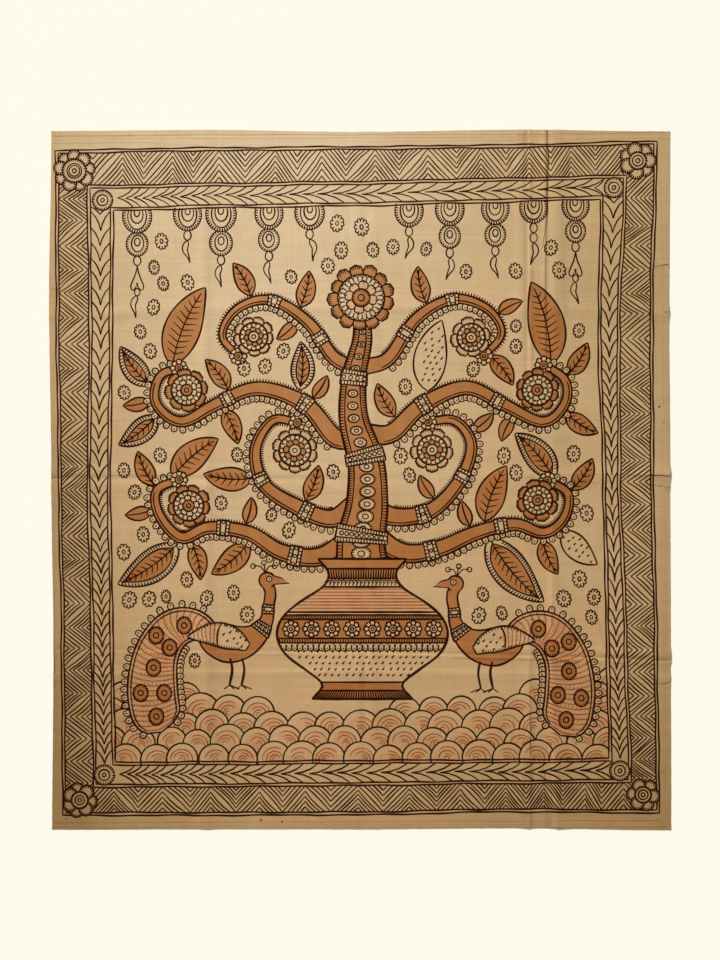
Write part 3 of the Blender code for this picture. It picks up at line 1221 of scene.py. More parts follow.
def leaf_with_room(d, room, root, forward, side, size):
    """A leaf of a size at a place on a bough, turned until it has room, or nothing."""
    for turn in LEAF_TURNS:
        angle = forward + side * math.radians(turn + d.chance.uniform(-5.0, 5.0))
        leaf = leaf_lane(root, angle, *size, -side * 0.22)
        if room.is_free(lane_places(leaf, 1.2, 3.0, 0.2)):
            return leaf
    return None


def grow_leaves(d, room, lane, start, end, step, first_size):
    """Sets the largest leaf that has room at each step along a bough, on both its sides."""
    grown = 0
    for n, t in enumerate(lane.steps(step, start, end)):
        forward = heading(lane, t, 0.0)
        for side in (1, -1):
            for size in LEAF_SIZES[first_size:]:
                leaf = leaf_with_room(d, room, lane.at(t, side * 1.2), forward, side, size)
                if leaf is not None:
                    room.claim(lane_places(leaf, 1.25))
                    style = LEAF_STYLES[(grown * 5 + n) % len(LEAF_STYLES)]
                    draw_leaf(d, leaf, style if size[0] > STYLED_LENGTH else "ochre")
                    grown += 1
                    break


def picture_room():
    """The room inside the field's frame, under the garlands and above the hill."""
    room = Room((-430.0, -490.0), (430.0, 490.0))
    cell = Room.CELL
    x = room.low[0] + (np.arange(room.taken.shape[0]) + 0.5) * cell
    y = room.low[1] + (np.arange(room.taken.shape[1]) + 0.5) * cell
    gx, gy = np.meshgrid(x, y, indexing="ij")
    outside = (gx < side_line("field", "left", gy, 9.0)) | (gx > side_line("field", "right", gy, 9.0))
    room.taken |= outside | (gy > side_line("field", "top", gx, 9.0)) | (gy < hill_crest(gx) + 4.0)
    return room


def strayed(d, side, place):
    """A place of a bough's row on one side of the tree, moved a little as the hand does."""
    x = side * (place[0] - TREE_MIDDLE) + TREE_MIDDLE + d.chance.uniform(-5.0, 5.0)
    return x, place[1] + d.chance.uniform(-6.0, 6.0)


def claim_tree(room, trunk, boughs, blooms):
    """Keeps the places of the trunk, the boughs with their beads, and the flowers free."""
    room.claim(lane_places(trunk, 1.25))
    for bough, _ in boughs:
        room.claim(lane_places(bough))
        room.claim(lane_places(with_half(bough, bough.half + 8.0)))
    for centre, radius in blooms + [(CROWN_BLOOM, CROWN_RADIUS)]:
        room.claim(disc_places(centre, radius * 1.08))


def draw_tree(d, room):
    """A flowering tree that grows from a vase between two birds."""
    trunk = Lane(smooth(TRUNK_SPINE, 8.0), lambda t: 0.5 * float(swelling(TRUNK_WIDTHS, t)))
    boughs, blooms = [], []
    for side in (1, -1):
        for row in BOUGHS:
            spine = [strayed(d, side, place) for place in row["spine"]]
            boughs.append((Lane(smooth(spine, 7.0), taper(*row["widths"])), side))
            bloom = strayed(d, side, row["bloom"])
            blooms.append((bloom, row["radius"] * d.chance.uniform(0.94, 1.05)))
    claim_tree(room, trunk, boughs, blooms)
    for side in (1, -1):
        x = TREE_MIDDLE + side * BIRD_FEET[0] + d.chance.uniform(-3, 3)
        draw_bird(d, room, (x, BIRD_FEET[1] + d.chance.uniform(-3, 3)), side)
    for x in np.arange(-150.0, 160.0, 6.0):
        room.claim([(x, y) for y in np.arange(VASE_FOOT - 4.0, VASE_LIP + 6.0, 3.0)])
    # Leaves go down first, so that the boughs lie over their stalks
    for step, first_size in LEAF_PASSES:
        for bough, _ in boughs:
            grow_leaves(d, room, bough, 0.16, 0.98, step, first_size)
    for bough, side in boughs:
        draw_limb(d, bough, float(side))
    draw_trunk(d, trunk)
    draw_vase(d)
    for k, (centre, radius) in enumerate(blooms):
        outer, inner = (("ochre", "bare"), ("rose", "ochre"))[k % 2]
        draw_bloom(d, centre, radius, 8 + k % 3, outer, inner)
    draw_bloom(d, CROWN_BLOOM, CROWN_RADIUS, 13, "ochre", "rose")


# The strewn flowers: how far apart they stand, how large they are, the last places on the way
# across and down, and how many more are tried at the end wherever chance puts them
DAISY_STEP = 43.0
DAISY_RADIUS = 13.5
DAISY_SIDE = 396.0
DAISY_TOP = 425.0
MORE_DAISIES = 260


def set_daisy(d, room, spot, stray, radius, tries):
    """Draws one small flower near a spot, if there is room for it."""
    for _ in range(tries):
        centre = tuple(spot[k] + d.chance.uniform(-stray[k], stray[k]) for k in (0, 1))
        if room.is_free(disc_places(centre, radius + 1.0)):
            daisy(d, centre[0], centre[1], radius)
            room.claim(disc_places(centre, radius + 5.0))
            return


def scatter_daisies(d, room):
    """Small flowers in loose rows wherever the ground is bare."""
    row = 0
    y = DAISY_TOP
    while y > -345.0:
        x = -390.0 + (DAISY_STEP / 2 if row % 2 else 0.0)
        while x < DAISY_SIDE:
            radius = DAISY_RADIUS * d.chance.uniform(0.9, 1.12)
            set_daisy(d, room, (x, y), (9.0, 8.0), radius, 8)
            x += DAISY_STEP
        y -= DAISY_STEP * 0.8
        row += 1
    for _ in range(MORE_DAISIES):
        spot = (d.chance.uniform(-DAISY_SIDE, DAISY_SIDE), d.chance.uniform(-330.0, DAISY_TOP))
        set_daisy(d, room, spot, (6.0, 6.0), DAISY_RADIUS * d.chance.uniform(0.8, 0.95), 2)


def cover_bands(d):
    """Bare cloth again round the field, over what ran past its frame."""
    for side in ("left", "right", "top", "bottom"):
        places = np.linspace(*frame_ends("second", side), 24)
        path = [band_place("second", "field", side, p, 0.5) for p in places]
        d.ribbon(path, 33.0, "bare")


# Marks of the loom and of the dye, and darker lines along the folds and creases, which are partly wear and
# partly painted shade:
# each is a thin line from one place to another, in millimetres, with its width, its dye and how strongly it
# shows
MARK_AND_SHADE_COLUMNS = ("start", "end", "width", "dye", "depth")
MARK_AND_SHADE_ROWS = (
    ((-512, 574), (-120, 577), 1.8, "ink", 0.34),
    ((-150, 576), (300, 577), 1.5, "ink", 0.28),
    ((260, 576), (510, 580), 1.8, "ink", 0.30),
    ((-420, 569), (330, 573), 1.1, "ink", 0.26),
    ((-512, 562), (-330, 563), 1.2, "ink", 0.26),
    ((60, 565), (512, 571), 1.3, "red", 0.26),
    ((-510, -573), (500, -569), 1.6, "ink", 0.26),
    ((-300, -577), (420, -575), 1.3, "red", 0.26),
    ((-514, -580), (515, -580), 1.4, "ink", 0.22),
    ((509, 0), (511, -520), 2.2, "red", 0.16),
    ((502, 540), (507, 120), 1.5, "red", 0.18),
    ((513, 500), (514, -330), 1.3, "red", 0.14),
    ((504, 60), (508, -540), 1.3, "ink", 0.12),
    ((-512, 480), (-510, -420), 1.1, "ink", 0.14),
    # From here on the lines lie along the folds and creases, except the red line from (492, 355): the thin
    # dark ones are crease wear darkened by painted shadow, the darkest in the pinched folds, and the wide
    # faint ones are painted shade only
    ((484, 8), (519, 6), 2.2, "ink", 0.78),
    ((400, 9), (484, 8), 1.6, "ink", 0.26),
    ((322, 9), (400, 9), 3.0, "ink", 0.12),
    ((484, -9), (519, -12), 1.8, "ink", 0.42),
    ((326, -5), (402, -6), 5.0, "ink", 0.11),
    ((312, 584), (315, 552), 2.6, "ink", 0.26),
    ((315, 551), (313, 476), 2.1, "ink", 0.80),
    ((313, 476), (313, 438), 2.4, "ink", 0.70),
    ((313, 438), (304, 387), 1.8, "ink", 0.50),
    ((304, 387), (303, 355), 3.0, "ink", 0.16),
    ((281, 490), (279, 452), 1.2, "ink", 0.34),
    ((279, 584), (280, 560), 2.4, "ink", 0.18),
    ((284, -384), (285, -461), 1.7, "ink", 0.48),
    ((307, -463), (308, -548), 1.2, "ink", 0.45),
    ((320, -549), (318, -582), 4.0, "ink", 0.13),
    ((269, -549), (268, -583), 3.6, "ink", 0.12),
    ((276, -466), (274, -584), 8.0, "ink", 0.13),
    ((283, -300), (284, -384), 2.4, "ink", 0.16),
    ((313, -548), (313, -584), 7.0, "ink", 0.14),
    ((519, 361), (503, 358), 2.4, "ink", 0.60),
    ((503, 358), (492, 355), 2.0, "ink", 0.40),
    ((492, 355), (438, 328), 1.5, "red", 0.20),
    ((519, 281), (507, 280), 3.2, "ink", 0.30),
    ((519, -337), (505, -341), 1.6, "ink", 0.55),
    ((505, -341), (494, -339), 1.4, "ink", 0.45),
    ((492, -301), (517, -302), 1.8, "ink", 0.22),
    ((-516, 319), (-498, 318), 1.6, "ink", 0.34),
    ((-516, 3), (-498, 3), 2.0, "ink", 0.36),
    ((386, -186), (409, -284), 4.0, "ink", 0.09),
)
MARKS_AND_SHADE = [dict(zip(MARK_AND_SHADE_COLUMNS, row)) for row in MARK_AND_SHADE_ROWS]
# Small spots: place, radius and how strongly each shows
SPOTS = (
    (-165, -568, 1.9, 0.9),
    (-130, -571, 1.8, 0.8),
    (500, 122, 2.1, 0.8),
    (506, -487, 4.2, 0.2),
    (507, 96, 2.4, 0.3),
    (-490, -566, 3.0, 0.2),
)


def draw_marks_and_painted_shade(d):
    """The thin marks, the painted shade along the folds and creases, and the spots, which the hand didn't
    draw.
    """
    for mark_or_shade in MARKS_AND_SHADE:
        path = bowed(mark_or_shade["start"], mark_or_shade["end"], 0.0, 14)
        sway = [d.chance.uniform(-0.55, 0.55) for _ in path]
        sway[0] = sway[-1] = 0.0
        path[:, 1 if abs(path[-1][0] - path[0][0]) > abs(path[-1][1] - path[0][1]) else 0] += sway
        widths = mark_or_shade["width"] * np.array([d.chance.uniform(0.7, 1.3) for _ in path])
        d.ribbon(path, widths, mark_or_shade["dye"], mark_or_shade["depth"])
    for x, y, radius, depth in SPOTS:
        d.add_shape(oval((x, y), radius)[:-1], "ink", depth)


def drawing_of_the_panel():
    """Everything on the cloth, from the ground of the picture to what lies over it."""
    d = Drawing(seed=11)
    draw_hill(d)
    room = picture_room()
    claim_garlands(room)
    draw_tree(d, room)
    scatter_daisies(d, room)
    draw_garlands(d)
    cover_bands(d)
    d.soaking = True
    draw_frames(d)
    d.soaking = False
    draw_zigzags(d)
    draw_herringbones(d)
    draw_corner_flowers(d)
    # Loom and dye marks, and the painted shade along the folds and creases
    draw_marks_and_painted_shade(d)
    return d


# The cloth's shape, in millimetres
HALF_WIDTH = PANEL_WIDTH / MM / 2
HALF_HEIGHT = PANEL_HEIGHT / MM / 2
EDGE_STEP = 7.0
RAGGEDNESS = 0.45
GROUND_STEP = 16.0
FOLD_STEP = 12.0
# How far inside the cut edge each fold's mesh edges end
FOLD_END = 2.2
# Where the mesh has edges along each fold, and where it only has points, as shares of its reach
CREST_SHARE = 0.14
EDGE_SHARES = (-1.0, -0.36, -CREST_SHARE, 0.0, CREST_SHARE, 0.36, 1.0)
FOLD_SHARES = (-0.66, -0.25, 0.25, 0.66)
RIPPLE_HEIGHT = 0.22
# Small creases that don't cross the cloth: both ends, height and reach
CREASES = (
    ((470, 8), (519, 10), 0.9, 9),
    ((480, -11), (519, -12), 0.6, 7),
    ((384, -184), (409, -284), 0.5, 12),
    ((-519, 319), (-492, 318), 0.6, 9),
    ((492, 359), (519, 358), 0.7, 9),
    ((300, 420), (306, 584), 0.6, 9),
)


def edge_line(edge, place):
    if edge in ("left", "right"):
        reach = HALF_WIDTH - along(EDGE_INSETS[edge], 0.5 - place / (2.0 * HALF_HEIGHT))
    else:
        reach = HALF_HEIGHT - along(EDGE_INSETS[edge], 0.5 + place / (2.0 * HALF_WIDTH))
    return reach if edge in ("right", "top") else -reach


def cloth_corner(side, end):
    x = y = 0.0
    for _ in range(4):
        x = float(edge_line(side, y))
        y = float(edge_line(end, x))
    return x, y


def cloth_outline(chance):
    """The cut edge, anticlockwise from the lower left corner, a little ragged."""
    sides = (("left", "bottom"), ("right", "bottom"), ("right", "top"), ("left", "top"))
    corners = [cloth_corner(*pair) for pair in sides]
    ring = []
    for edge, a, b in zip(("bottom", "right", "top", "left"), corners, corners[1:] + corners[:1]):
        count = int(math.dist(a, b) / EDGE_STEP)
        for k in range(count):
            x, y = (a[n] + (b[n] - a[n]) * k / count for n in (0, 1))
            inward = chance.uniform(0.0, RAGGEDNESS) if k else 0.0
            if edge in ("left", "right"):
                x = float(edge_line(edge, y)) + (inward if edge == "left" else -inward)
            else:
                y = float(edge_line(edge, x)) + (inward if edge == "bottom" else -inward)
            ring.append((x, y))
    return ring


def share_along(fold, place):
    if fold["runs"] == "down":
        return 0.5 - place / (2.0 * HALF_HEIGHT)
    return 0.5 + place / (2.0 * HALF_WIDTH)


def fold_lift(fold, x, y):
    """How far one pressed fold lifts the cloth, with a slightly rounded crest."""
    place = y if fold["runs"] == "down" else x
    share = share_along(fold, place)
    line = along(fold["line"], share)
    after = x - line if fold["runs"] == "down" else line - y
    reach = np.where(after < 0.0, fold["before"], fold["after"])
    out = np.minimum(np.abs(after) / reach, 1.0)
    widest = math.sqrt(1.0 + CREST_SOFTNESS**2) - CREST_SOFTNESS
    out = (np.sqrt(out**2 + CREST_SOFTNESS**2) - CREST_SOFTNESS) / widest
    height = along(fold["lift"], share)
    pinch = -height * SWELL_GAIN * out * (1.0 - out) ** 2
    return np.where(height > 0.0, height * (1.0 - out) ** 2, pinch)


def crease_lift(crease, x, y):
    """How far one small crease lifts the cloth."""
    (x0, y0), (x1, y1), height, reach = crease
    length = math.dist((x0, y0), (x1, y1))
    ax, ay = (x1 - x0) / length, (y1 - y0) / length
    far = np.clip((x - x0) * ax + (y - y0) * ay, 0.0, length)
    out = np.hypot(x - x0 - far * ax, y - y0 - far * ay) / reach
    return height * np.clip(1.0 - out, 0.0, 1.0) ** 2


# The ripples across and down: how long they are, and how far and how slowly they sway
RIPPLES_ACROSS = (19.0, 1.7, 61.0)
RIPPLES_DOWN = (43.0, 1.3, 87.0)


def ripples(place, beside, shape):
    """Waves along one way that sway with the place beside it."""
    length, sway, sway_length = shape
    return np.sin(place / length + sway * np.sin(beside / sway_length))


def cloth_lift(x, y):
    """The height of the cloth's underside, with all its folds, creases and faint ripples."""
    height = sum(fold_lift(fold, x, y) for fold in FOLDS)
    height = height + sum(crease_lift(crease, x, y) for crease in CREASES)
    both = ripples(x, y, RIPPLES_ACROSS) * ripples(y, x, RIPPLES_DOWN)
    return height + RIPPLE_HEIGHT * (0.5 + 0.5 * both)


# How far each way the slope at a place is measured, in millimetres
SLOPE_REACH = 0.4


def lift_and_normal(places):
    """The height of the cloth's underside at each place, and which way it faces."""
    x, y = places.T
    height = cloth_lift(x, y)
    dx = (cloth_lift(x + SLOPE_REACH, y) - cloth_lift(x - SLOPE_REACH, y)) / (2.0 * SLOPE_REACH)
    dy = (cloth_lift(x, y + SLOPE_REACH) - cloth_lift(x, y - SLOPE_REACH)) / (2.0 * SLOPE_REACH)
    normal = np.stack([-dx, -dy, np.ones(len(x))], axis=1)
    return height, normal / np.linalg.norm(normal, axis=1)[:, None]


# Folds lower than this have no lines close beside their crest
LOW_FOLD = 2.1


def fold_paths(share):
    """The lines that run beside each fold, or on it where the share of its reach is 0."""
    paths = []
    for fold in FOLDS:
        if abs(share) == CREST_SHARE and max(abs(lift) for lift in fold["lift"]) < LOW_FOLD:
            continue
        down = fold["runs"] == "down"
        half, edges = (HALF_HEIGHT, ("bottom", "top")) if down else (HALF_WIDTH, ("left", "right"))
        offset = share * (fold["before"] if share < 0.0 else fold["after"])
        beside = lambda place: along(fold["line"], share_along(fold, place)) + (offset if down else -offset)
        place = np.linspace(-half + 8.0, half - 8.0, int(2 * half / FOLD_STEP))
        first, last = (float(edge_line(edge, beside(place[k]))) for edge, k in zip(edges, (0, -1)))
        place[0], place[-1] = first + FOLD_END, last - FOLD_END
        across = beside(place)
        pair = (across, place) if down else (place, across)
        paths.append(np.stack(pair, axis=1))
    return paths


def ground_points(chance, step):
    """Points spread over the bare cloth."""
    points = []
    for x in np.arange(-HALF_WIDTH + step, HALF_WIDTH - step / 2, step):
        for y in np.arange(-HALF_HEIGHT + step, HALF_HEIGHT - step / 2, step):
            points.append((x + chance.uniform(-0.2, 0.2) * step, y + chance.uniform(-0.2, 0.2) * step))
    return points


def with_room(points, spots, gap):
    """Those of the points that have none of the spots in their square of the cloth."""
    cell = lambda places: map(tuple, np.floor(np.asarray(places) / gap).astype(int).tolist())
    taken = set(cell(spots))
    return [point for point, square in zip(points, cell(points)) if square not in taken]


def inside(ring, place):
    x, y = ring.T
    x2, y2 = np.roll(x, -1), np.roll(y, -1)
    crosses = (y > place[1]) != (y2 > place[1])
    with np.errstate(divide="ignore", invalid="ignore"):
        at = x + (place[1] - y) * (x2 - x) / (y2 - y)
    return bool(np.count_nonzero(crosses & (at > place[0])) % 2)


def visible_shapes(d):
    """The numbers of the shapes, without those that lie wholly under one later fill."""
    corners = [np.array([d.places[k] for k in shape]) for shape in d.shapes]
    lows = np.array([c.min(axis=0) for c in corners])
    highs = np.array([c.max(axis=0) for c in corners])
    numbers = np.arange(len(corners))
    gone = np.zeros(len(corners), bool)
    for n in numbers:
        if d.dyes[n] not in Drawing.FILLS:
            continue
        under = (numbers < n) & (lows > lows[n]).all(axis=1) & (highs < highs[n]).all(axis=1) & ~gone
        for k in np.nonzero(under)[0]:
            gone[k] = all(inside(corners[n], corner) for corner in corners[k])
    return [int(n) for n in numbers if not gone[n]]


# A shape that crosses itself can spread over the whole cloth, and is left out. This is how much of
# its own area a sound one may cover, and how many square millimetres beside
SOUND_SHARE = 1.7
SOUND_AREA = 4.0


def lay_dyes(d, outline):
    """Cuts all the shapes into the flat cloth. Gives its points, its triangles and their dyes."""
    numbers = visible_shapes(d)
    used = sorted({k for n in numbers for k in d.shapes[n]})
    renamed = {k: i + len(outline) for i, k in enumerate(used)}
    spots = list(outline) + [d.places[k] for k in used]
    faces = [list(range(len(outline)))] + [[renamed[k] for k in d.shapes[n]] for n in numbers]
    cut = delaunay_2d_cdt([Vector(p) for p in spots], [], faces, 0, 1e-4, True)
    places = np.array([tuple(v) for v in cut[0]])
    found, owners, shapes = [], [], []
    for triangle, ids in zip(cut[2], cut[5]):
        if 0 in ids:
            owners.extend([len(found)] * (len(ids) - 1))
            shapes.extend(n - 1 for n in ids if n)
            found.append(triangle)
    triangles, owners, shapes = np.array(found), np.array(owners), np.array(shapes)
    (ax, ay), (bx, by), (cx, cy) = (places[triangles[:, k]].T for k in range(3))
    areas = 0.5 * np.abs((bx - ax) * (cy - ay) - (by - ay) * (cx - ax))
    own = np.array([abs(ring_area([d.places[k] for k in d.shapes[n]])) for n in numbers])
    covered = np.bincount(shapes, weights=areas[owners], minlength=len(numbers))
    sound = covered < SOUND_SHARE * own + SOUND_AREA
    is_fill = np.array([d.dyes[n] in Drawing.FILLS for n in numbers])
    top_fill = np.full(len(triangles), -1)
    fills = sound[shapes] & is_fill[shapes]
    np.maximum.at(top_fill, owners[fills], shapes[fills])
    lines = sound[shapes] & ~is_fill[shapes] & (shapes > top_fill[owners])
    dyes = np.array([d.dyes[n] for n in numbers])
    depths = np.array([d.depths[n] for n in numbers])
    shown = {dye: np.append(np.where(dyes == dye, depths, 0.0), 0.0)[top_fill] for dye in ("ochre", "rose")}
    for dye in Drawing.LINES:
        taken = lines & (dyes[shapes] == dye)
        shown[dye] = np.zeros(len(triangles))
        np.maximum.at(shown[dye], owners[taken], depths[shapes[taken]])
    shown["soaked"] = np.zeros(len(triangles), bool)
    shown["soaked"][owners[lines & np.array([d.soaks[n] for n in numbers])[shapes]]] = True
    return places, triangles, shown


def borders_between(places, triangles, code):
    """The edges that part triangles with different codes, as pairs of points."""
    sides = [triangles[:, [0, 1]], triangles[:, [1, 2]], triangles[:, [2, 0]]]
    pairs = np.sort(np.concatenate(sides), axis=1)
    owner = np.tile(np.arange(len(triangles)), 3)
    key = pairs[:, 0].astype(np.int64) * len(places) + pairs[:, 1]
    order = np.argsort(key, kind="stable")
    key, owner = key[order], owner[order]
    twins = np.nonzero(key[1:] == key[:-1])[0]
    differ = key[twins[code[owner[twins]] != code[owner[twins + 1]]]]
    return [(int(k // len(places)), int(k % len(places))) for k in differ]


def straightened(places, edges, slack):
    """The net of edges without the points that lie on a straight run, within a slack."""
    beside = {}
    for a, b in edges:
        beside.setdefault(a, set()).add(b)
        beside.setdefault(b, set()).add(a)
    spots = places.tolist()
    dropped = {}
    for v in sorted(beside):
        if len(beside[v]) != 2:
            continue
        a, b = sorted(beside[v])
        if b in beside[a]:
            continue
        (ax, ay), (bx, by), (x, y) = spots[a], spots[b], spots[v]
        if (x - ax) * (bx - x) + (y - ay) * (by - y) <= 0.0:
            continue
        length = max(math.hypot(bx - ax, by - ay), 1e-6)
        passed = [v] + dropped.get((min(a, v), max(a, v)), []) + dropped.get((min(b, v), max(b, v)), [])
        offs = [abs((bx - ax) * (spots[k][1] - ay) - (by - ay) * (spots[k][0] - ax)) for k in passed]
        if max(offs) / length < slack:
            for p, q in ((a, b), (b, a)):
                beside[p].discard(v)
                beside[p].add(q)
            beside[v] = set()
            dropped[(a, b)] = passed
    return sorted({(min(a, b), max(a, b)) for a in beside for b in beside[a]})


def cut_side(dyed, code, outline, points, crests, slack):
    """Cuts one side of the cloth along the borders between its dyes.

    Gives its points, its triangles, the dyed triangle that each of them lies on and its edge points.
    """
    places, triangles, _ = dyed
    borders = straightened(places, borders_between(places, triangles, code), slack)
    used = sorted({k for pair in borders for k in pair})
    renamed = {k: i + len(outline) for i, k in enumerate(used)}
    spots = list(outline) + places[used].tolist()
    edges = [(renamed[a], renamed[b]) for a, b in borders]
    for path in crests:
        edges += [(len(spots) + k, len(spots) + k + 1) for k in range(len(path) - 1)]
        spots += path.tolist()
    for gap, more in points:
        spots += with_room(more, spots, gap)
    cut = delaunay_2d_cdt([Vector(p) for p in spots], edges, [list(range(len(outline)))], 0, 1e-4, True)
    found = np.array([triangle for triangle, ids in zip(cut[2], cut[5]) if ids])
    flat = np.array([tuple(v) for v in cut[0]])
    tree = BVHTree.FromPolygons(
        np.column_stack([places, np.zeros(len(places))]).tolist(), triangles.tolist(), all_triangles=True
    )
    below = Vector((0.0, 0.0, -1.0))
    lies_on = []
    for x, y in flat[found].mean(axis=1).tolist():
        hit = tree.ray_cast(Vector((x, y, 1.0)), below)[2]
        lies_on.append(tree.find_nearest(Vector((x, y, 0.0)))[2] if hit is None else hit)
    where = {first: k for k, ids in enumerate(cut[3]) for first in ids if first < len(outline)}
    return flat, found, np.array(lies_on), [where[k] for k in range(len(outline))]


# How much of each dye shows on the cloth's plain side
SOAK = {"ink": 0.34, "red": 0.0, "ochre": 0.45, "rose": 0.30}
# How far a point may lie from a straight line and still be dropped from it, in millimetres
FRONT_SLACK = 0.11
BACK_SLACK = 1.0
# How far added points stay from all others, beside the folds and on bare cloth
FRONT_GAPS = (3.5, 11.0)
BACK_GAPS = (6.0, 16.0)
# How much further apart the bare cloth's points lie on the plain side
BACK_SPREAD = 1.6
# From which share on ink counts as full and red as strong, and how finely less ink is told apart
FULL_INK = 0.9
STRONG_RED = 0.5
INK_STEPS = 20
# How far outside the drawn side's edge the rim's lower points lie in the map
RIM_STEP = 0.0015
# Where the two sides of the cloth lie in its map: the scale for each metre, and the lower left corner
FRONT_MAP = (0.745, (0.006, 0.006))
BACK_MAP = (0.19, (0.796, 0.006))


def dye_codes(shown):
    """A number for each triangle of the drawn and of the plain side: those that look alike share it."""
    fills = (shown["ochre"] > 0.0) + 2 * (shown["rose"] > 0.0)
    ink = np.round(shown["ink"] * INK_STEPS).astype(int)
    red = np.where(shown["red"] >= STRONG_RED, 2, shown["red"] > 0.0).astype(int)
    front = np.where(shown["ink"] >= FULL_INK, -1, fills + 4 * red + 16 * ink)
    back = np.where(shown["soaked"] & (shown["ink"] > 0.0), -1, fills)
    return front, back


def corner_points(mesh):
    """Which point lies at each corner of the mesh's faces."""
    corners = np.empty(len(mesh.loops), int)
    mesh.loops.foreach_get("vertex_index", corners)
    return corners


def set_normals(mesh, normals, triangle_count):
    """Gives both sides the folds' own normals, and leaves the rim its flat ones."""
    corner_normals = normals[corner_points(mesh)]
    first_rim = 3 * triangle_count
    for k, face in enumerate(mesh.polygons[triangle_count:]):
        corner_normals[first_rim + 4 * k : first_rim + 4 * k + 4] = face.normal[:]
    mesh.normals_split_custom_set(corner_normals.tolist())


def make_sheet(settings):
    """The cloth as one closed mesh: its drawn side, its plain side and the rim between them."""
    d = drawing_of_the_panel()
    chance = random.Random(23)
    outline = cloth_outline(chance)
    dyed = lay_dyes(d, outline)
    shown = dyed[2]
    front_code, back_code = dye_codes(shown)
    beside = [path for share in EDGE_SHARES for path in fold_paths(share)]
    beside_folds = [tuple(p) for share in FOLD_SHARES for path in fold_paths(share) for p in path]
    front_points = tuple(zip(FRONT_GAPS, (beside_folds, ground_points(chance, GROUND_STEP))))
    front, front_faces, front_source, front_edge = cut_side(
        dyed, front_code, outline, front_points, beside, FRONT_SLACK
    )
    wide_points = ground_points(chance, BACK_SPREAD * GROUND_STEP)
    back_points = tuple(zip(BACK_GAPS, (beside_folds, wide_points)))
    back, back_faces, back_source, back_edge = cut_side(
        dyed, back_code, outline, back_points, beside, BACK_SLACK
    )
    count = len(front)
    lift, normal = lift_and_normal(front)
    back_lift, back_normal = lift_and_normal(back)
    thickness = settings.thickness / MM
    places = np.concatenate(
        [np.column_stack([front, lift + thickness]), np.column_stack([back, back_lift])]
    )
    rim = []
    for k in range(len(outline)):
        n = (k + 1) % len(outline)
        rim.append((front_edge[n], front_edge[k], count + back_edge[k], count + back_edge[n]))
    faces = [tuple(map(int, t)) for t in front_faces]
    faces += [tuple(int(v) + count for v in t[::-1]) for t in back_faces]
    faces += rim
    mesh = bpy.data.meshes.new(SHEET_NAME)
    mesh.from_pydata((places * MM).tolist(), [], faces)
    mesh.shade_smooth()
    for dye, soak in SOAK.items():
        reached = shown["soaked"] if dye == "ink" else 1.0
        values = np.concatenate(
            [shown[dye][front_source], (shown[dye] * reached)[back_source] * soak, np.zeros(len(rim))]
        )
        mesh.attributes.new(dye, "FLOAT", "FACE").data.foreach_set("value", values.astype(np.float32))
    set_map(mesh, len(front_faces), len(back_faces))
    set_normals(mesh, np.concatenate([normal, -back_normal]), len(front_faces) + len(back_faces))
    sheet = bpy.data.objects.new(SHEET_NAME, mesh)
    bpy.context.scene.collection.objects.link(sheet)
    return sheet


def set_map(mesh, front_count, back_count):
    """Lays the drawn side out large in the map, the plain side small beside it."""
    layer = mesh.uv_layers.new(name="OFBake")
    corners = corner_points(mesh)
    places = np.empty(3 * len(mesh.vertices))
    mesh.vertices.foreach_get("co", places)
    spots = places.reshape(-1, 3)[corners, :2] + np.array([PANEL_WIDTH, PANEL_HEIGHT]) / 2
    (scale, start), (back_scale, back_start) = FRONT_MAP, BACK_MAP
    found = spots * scale + np.array(start)
    first_back, first_rim = 3 * front_count, 3 * (front_count + back_count)
    found[first_back:first_rim] = spots[first_back:first_rim] * back_scale + np.array(back_start)
    outwards = np.sign(spots[first_rim:] - np.array([PANEL_WIDTH, PANEL_HEIGHT]) / 2) * RIM_STEP
    lower = np.tile([False, False, True, True], (len(corners) - first_rim) // 4)[:, None]
    found[first_rim:] += outwards * lower
    layer.data.foreach_set("uv", found.ravel().astype(np.float32))


def linear(red, green, blue):
    """A colour given in steps of 0 to 255, as the shader wants it."""
    spaced = []
    for value in (red / 255, green / 255, blue / 255):
        spaced.append(value / 12.92 if value <= 0.04045 else ((value + 0.055) / 1.055) ** 2.4)
    return tuple(spaced)


class Net:
    """Adds nodes to a tree and joins them up."""

    def __init__(self, tree):
        self.tree = tree

    def add(self, kind, inputs=None, **settings):
        node = self.tree.nodes.new("ShaderNode" + kind)
        for name, value in settings.items():
            setattr(node, name, value)
        for key, value in (inputs or {}).items():
            self.put(node.inputs[key], value)
        return node

    def put(self, socket, value):
        if isinstance(value, bpy.types.Node):
            value = next(out for out in value.outputs if out.enabled)
        if isinstance(value, bpy.types.NodeSocket):
            self.tree.links.new(value, socket)
        else:
            socket.default_value = value

    def math(self, operation, a, b=0.0, c=0.0, clamp=False):
        return self.add("Math", {0: a, 1: b, 2: c}, operation=operation, use_clamp=clamp)

    def spread(self, value, low, high, to_low=0.0, to_high=1.0):
        return self.add("MapRange", {"Value": value, 1: low, 2: high, 3: to_low, 4: to_high})

    def mix(self, amount, a, b, blend="MIX"):
        return self.add("Mix", {0: amount, 6: a, 7: b}, data_type="RGBA", blend_type=blend)

    def noise(self, vector, scale, detail, rough, stretch=(1, 1, 1)):
        turned = self.add("Mapping", {"Vector": vector, "Scale": stretch})
        values = {"Vector": turned, "Scale": scale, "Detail": detail, "Roughness": rough}
        return self.add("TexNoise", values).outputs["Fac"]


def new_group(name, sockets):
    """A node group with the sockets given as rows of way, kind, name and default."""
    group = bpy.data.node_groups.new(name, "ShaderNodeTree")
    for way, kind, title, value in sockets:
        socket = group.interface.new_socket(title, in_out=way, socket_type="NodeSocket" + kind)
        if value is not None:
            socket.default_value = value
    into, out = group.nodes.new("NodeGroupInput"), group.nodes.new("NodeGroupOutput")
    return group, Net(group), into, out


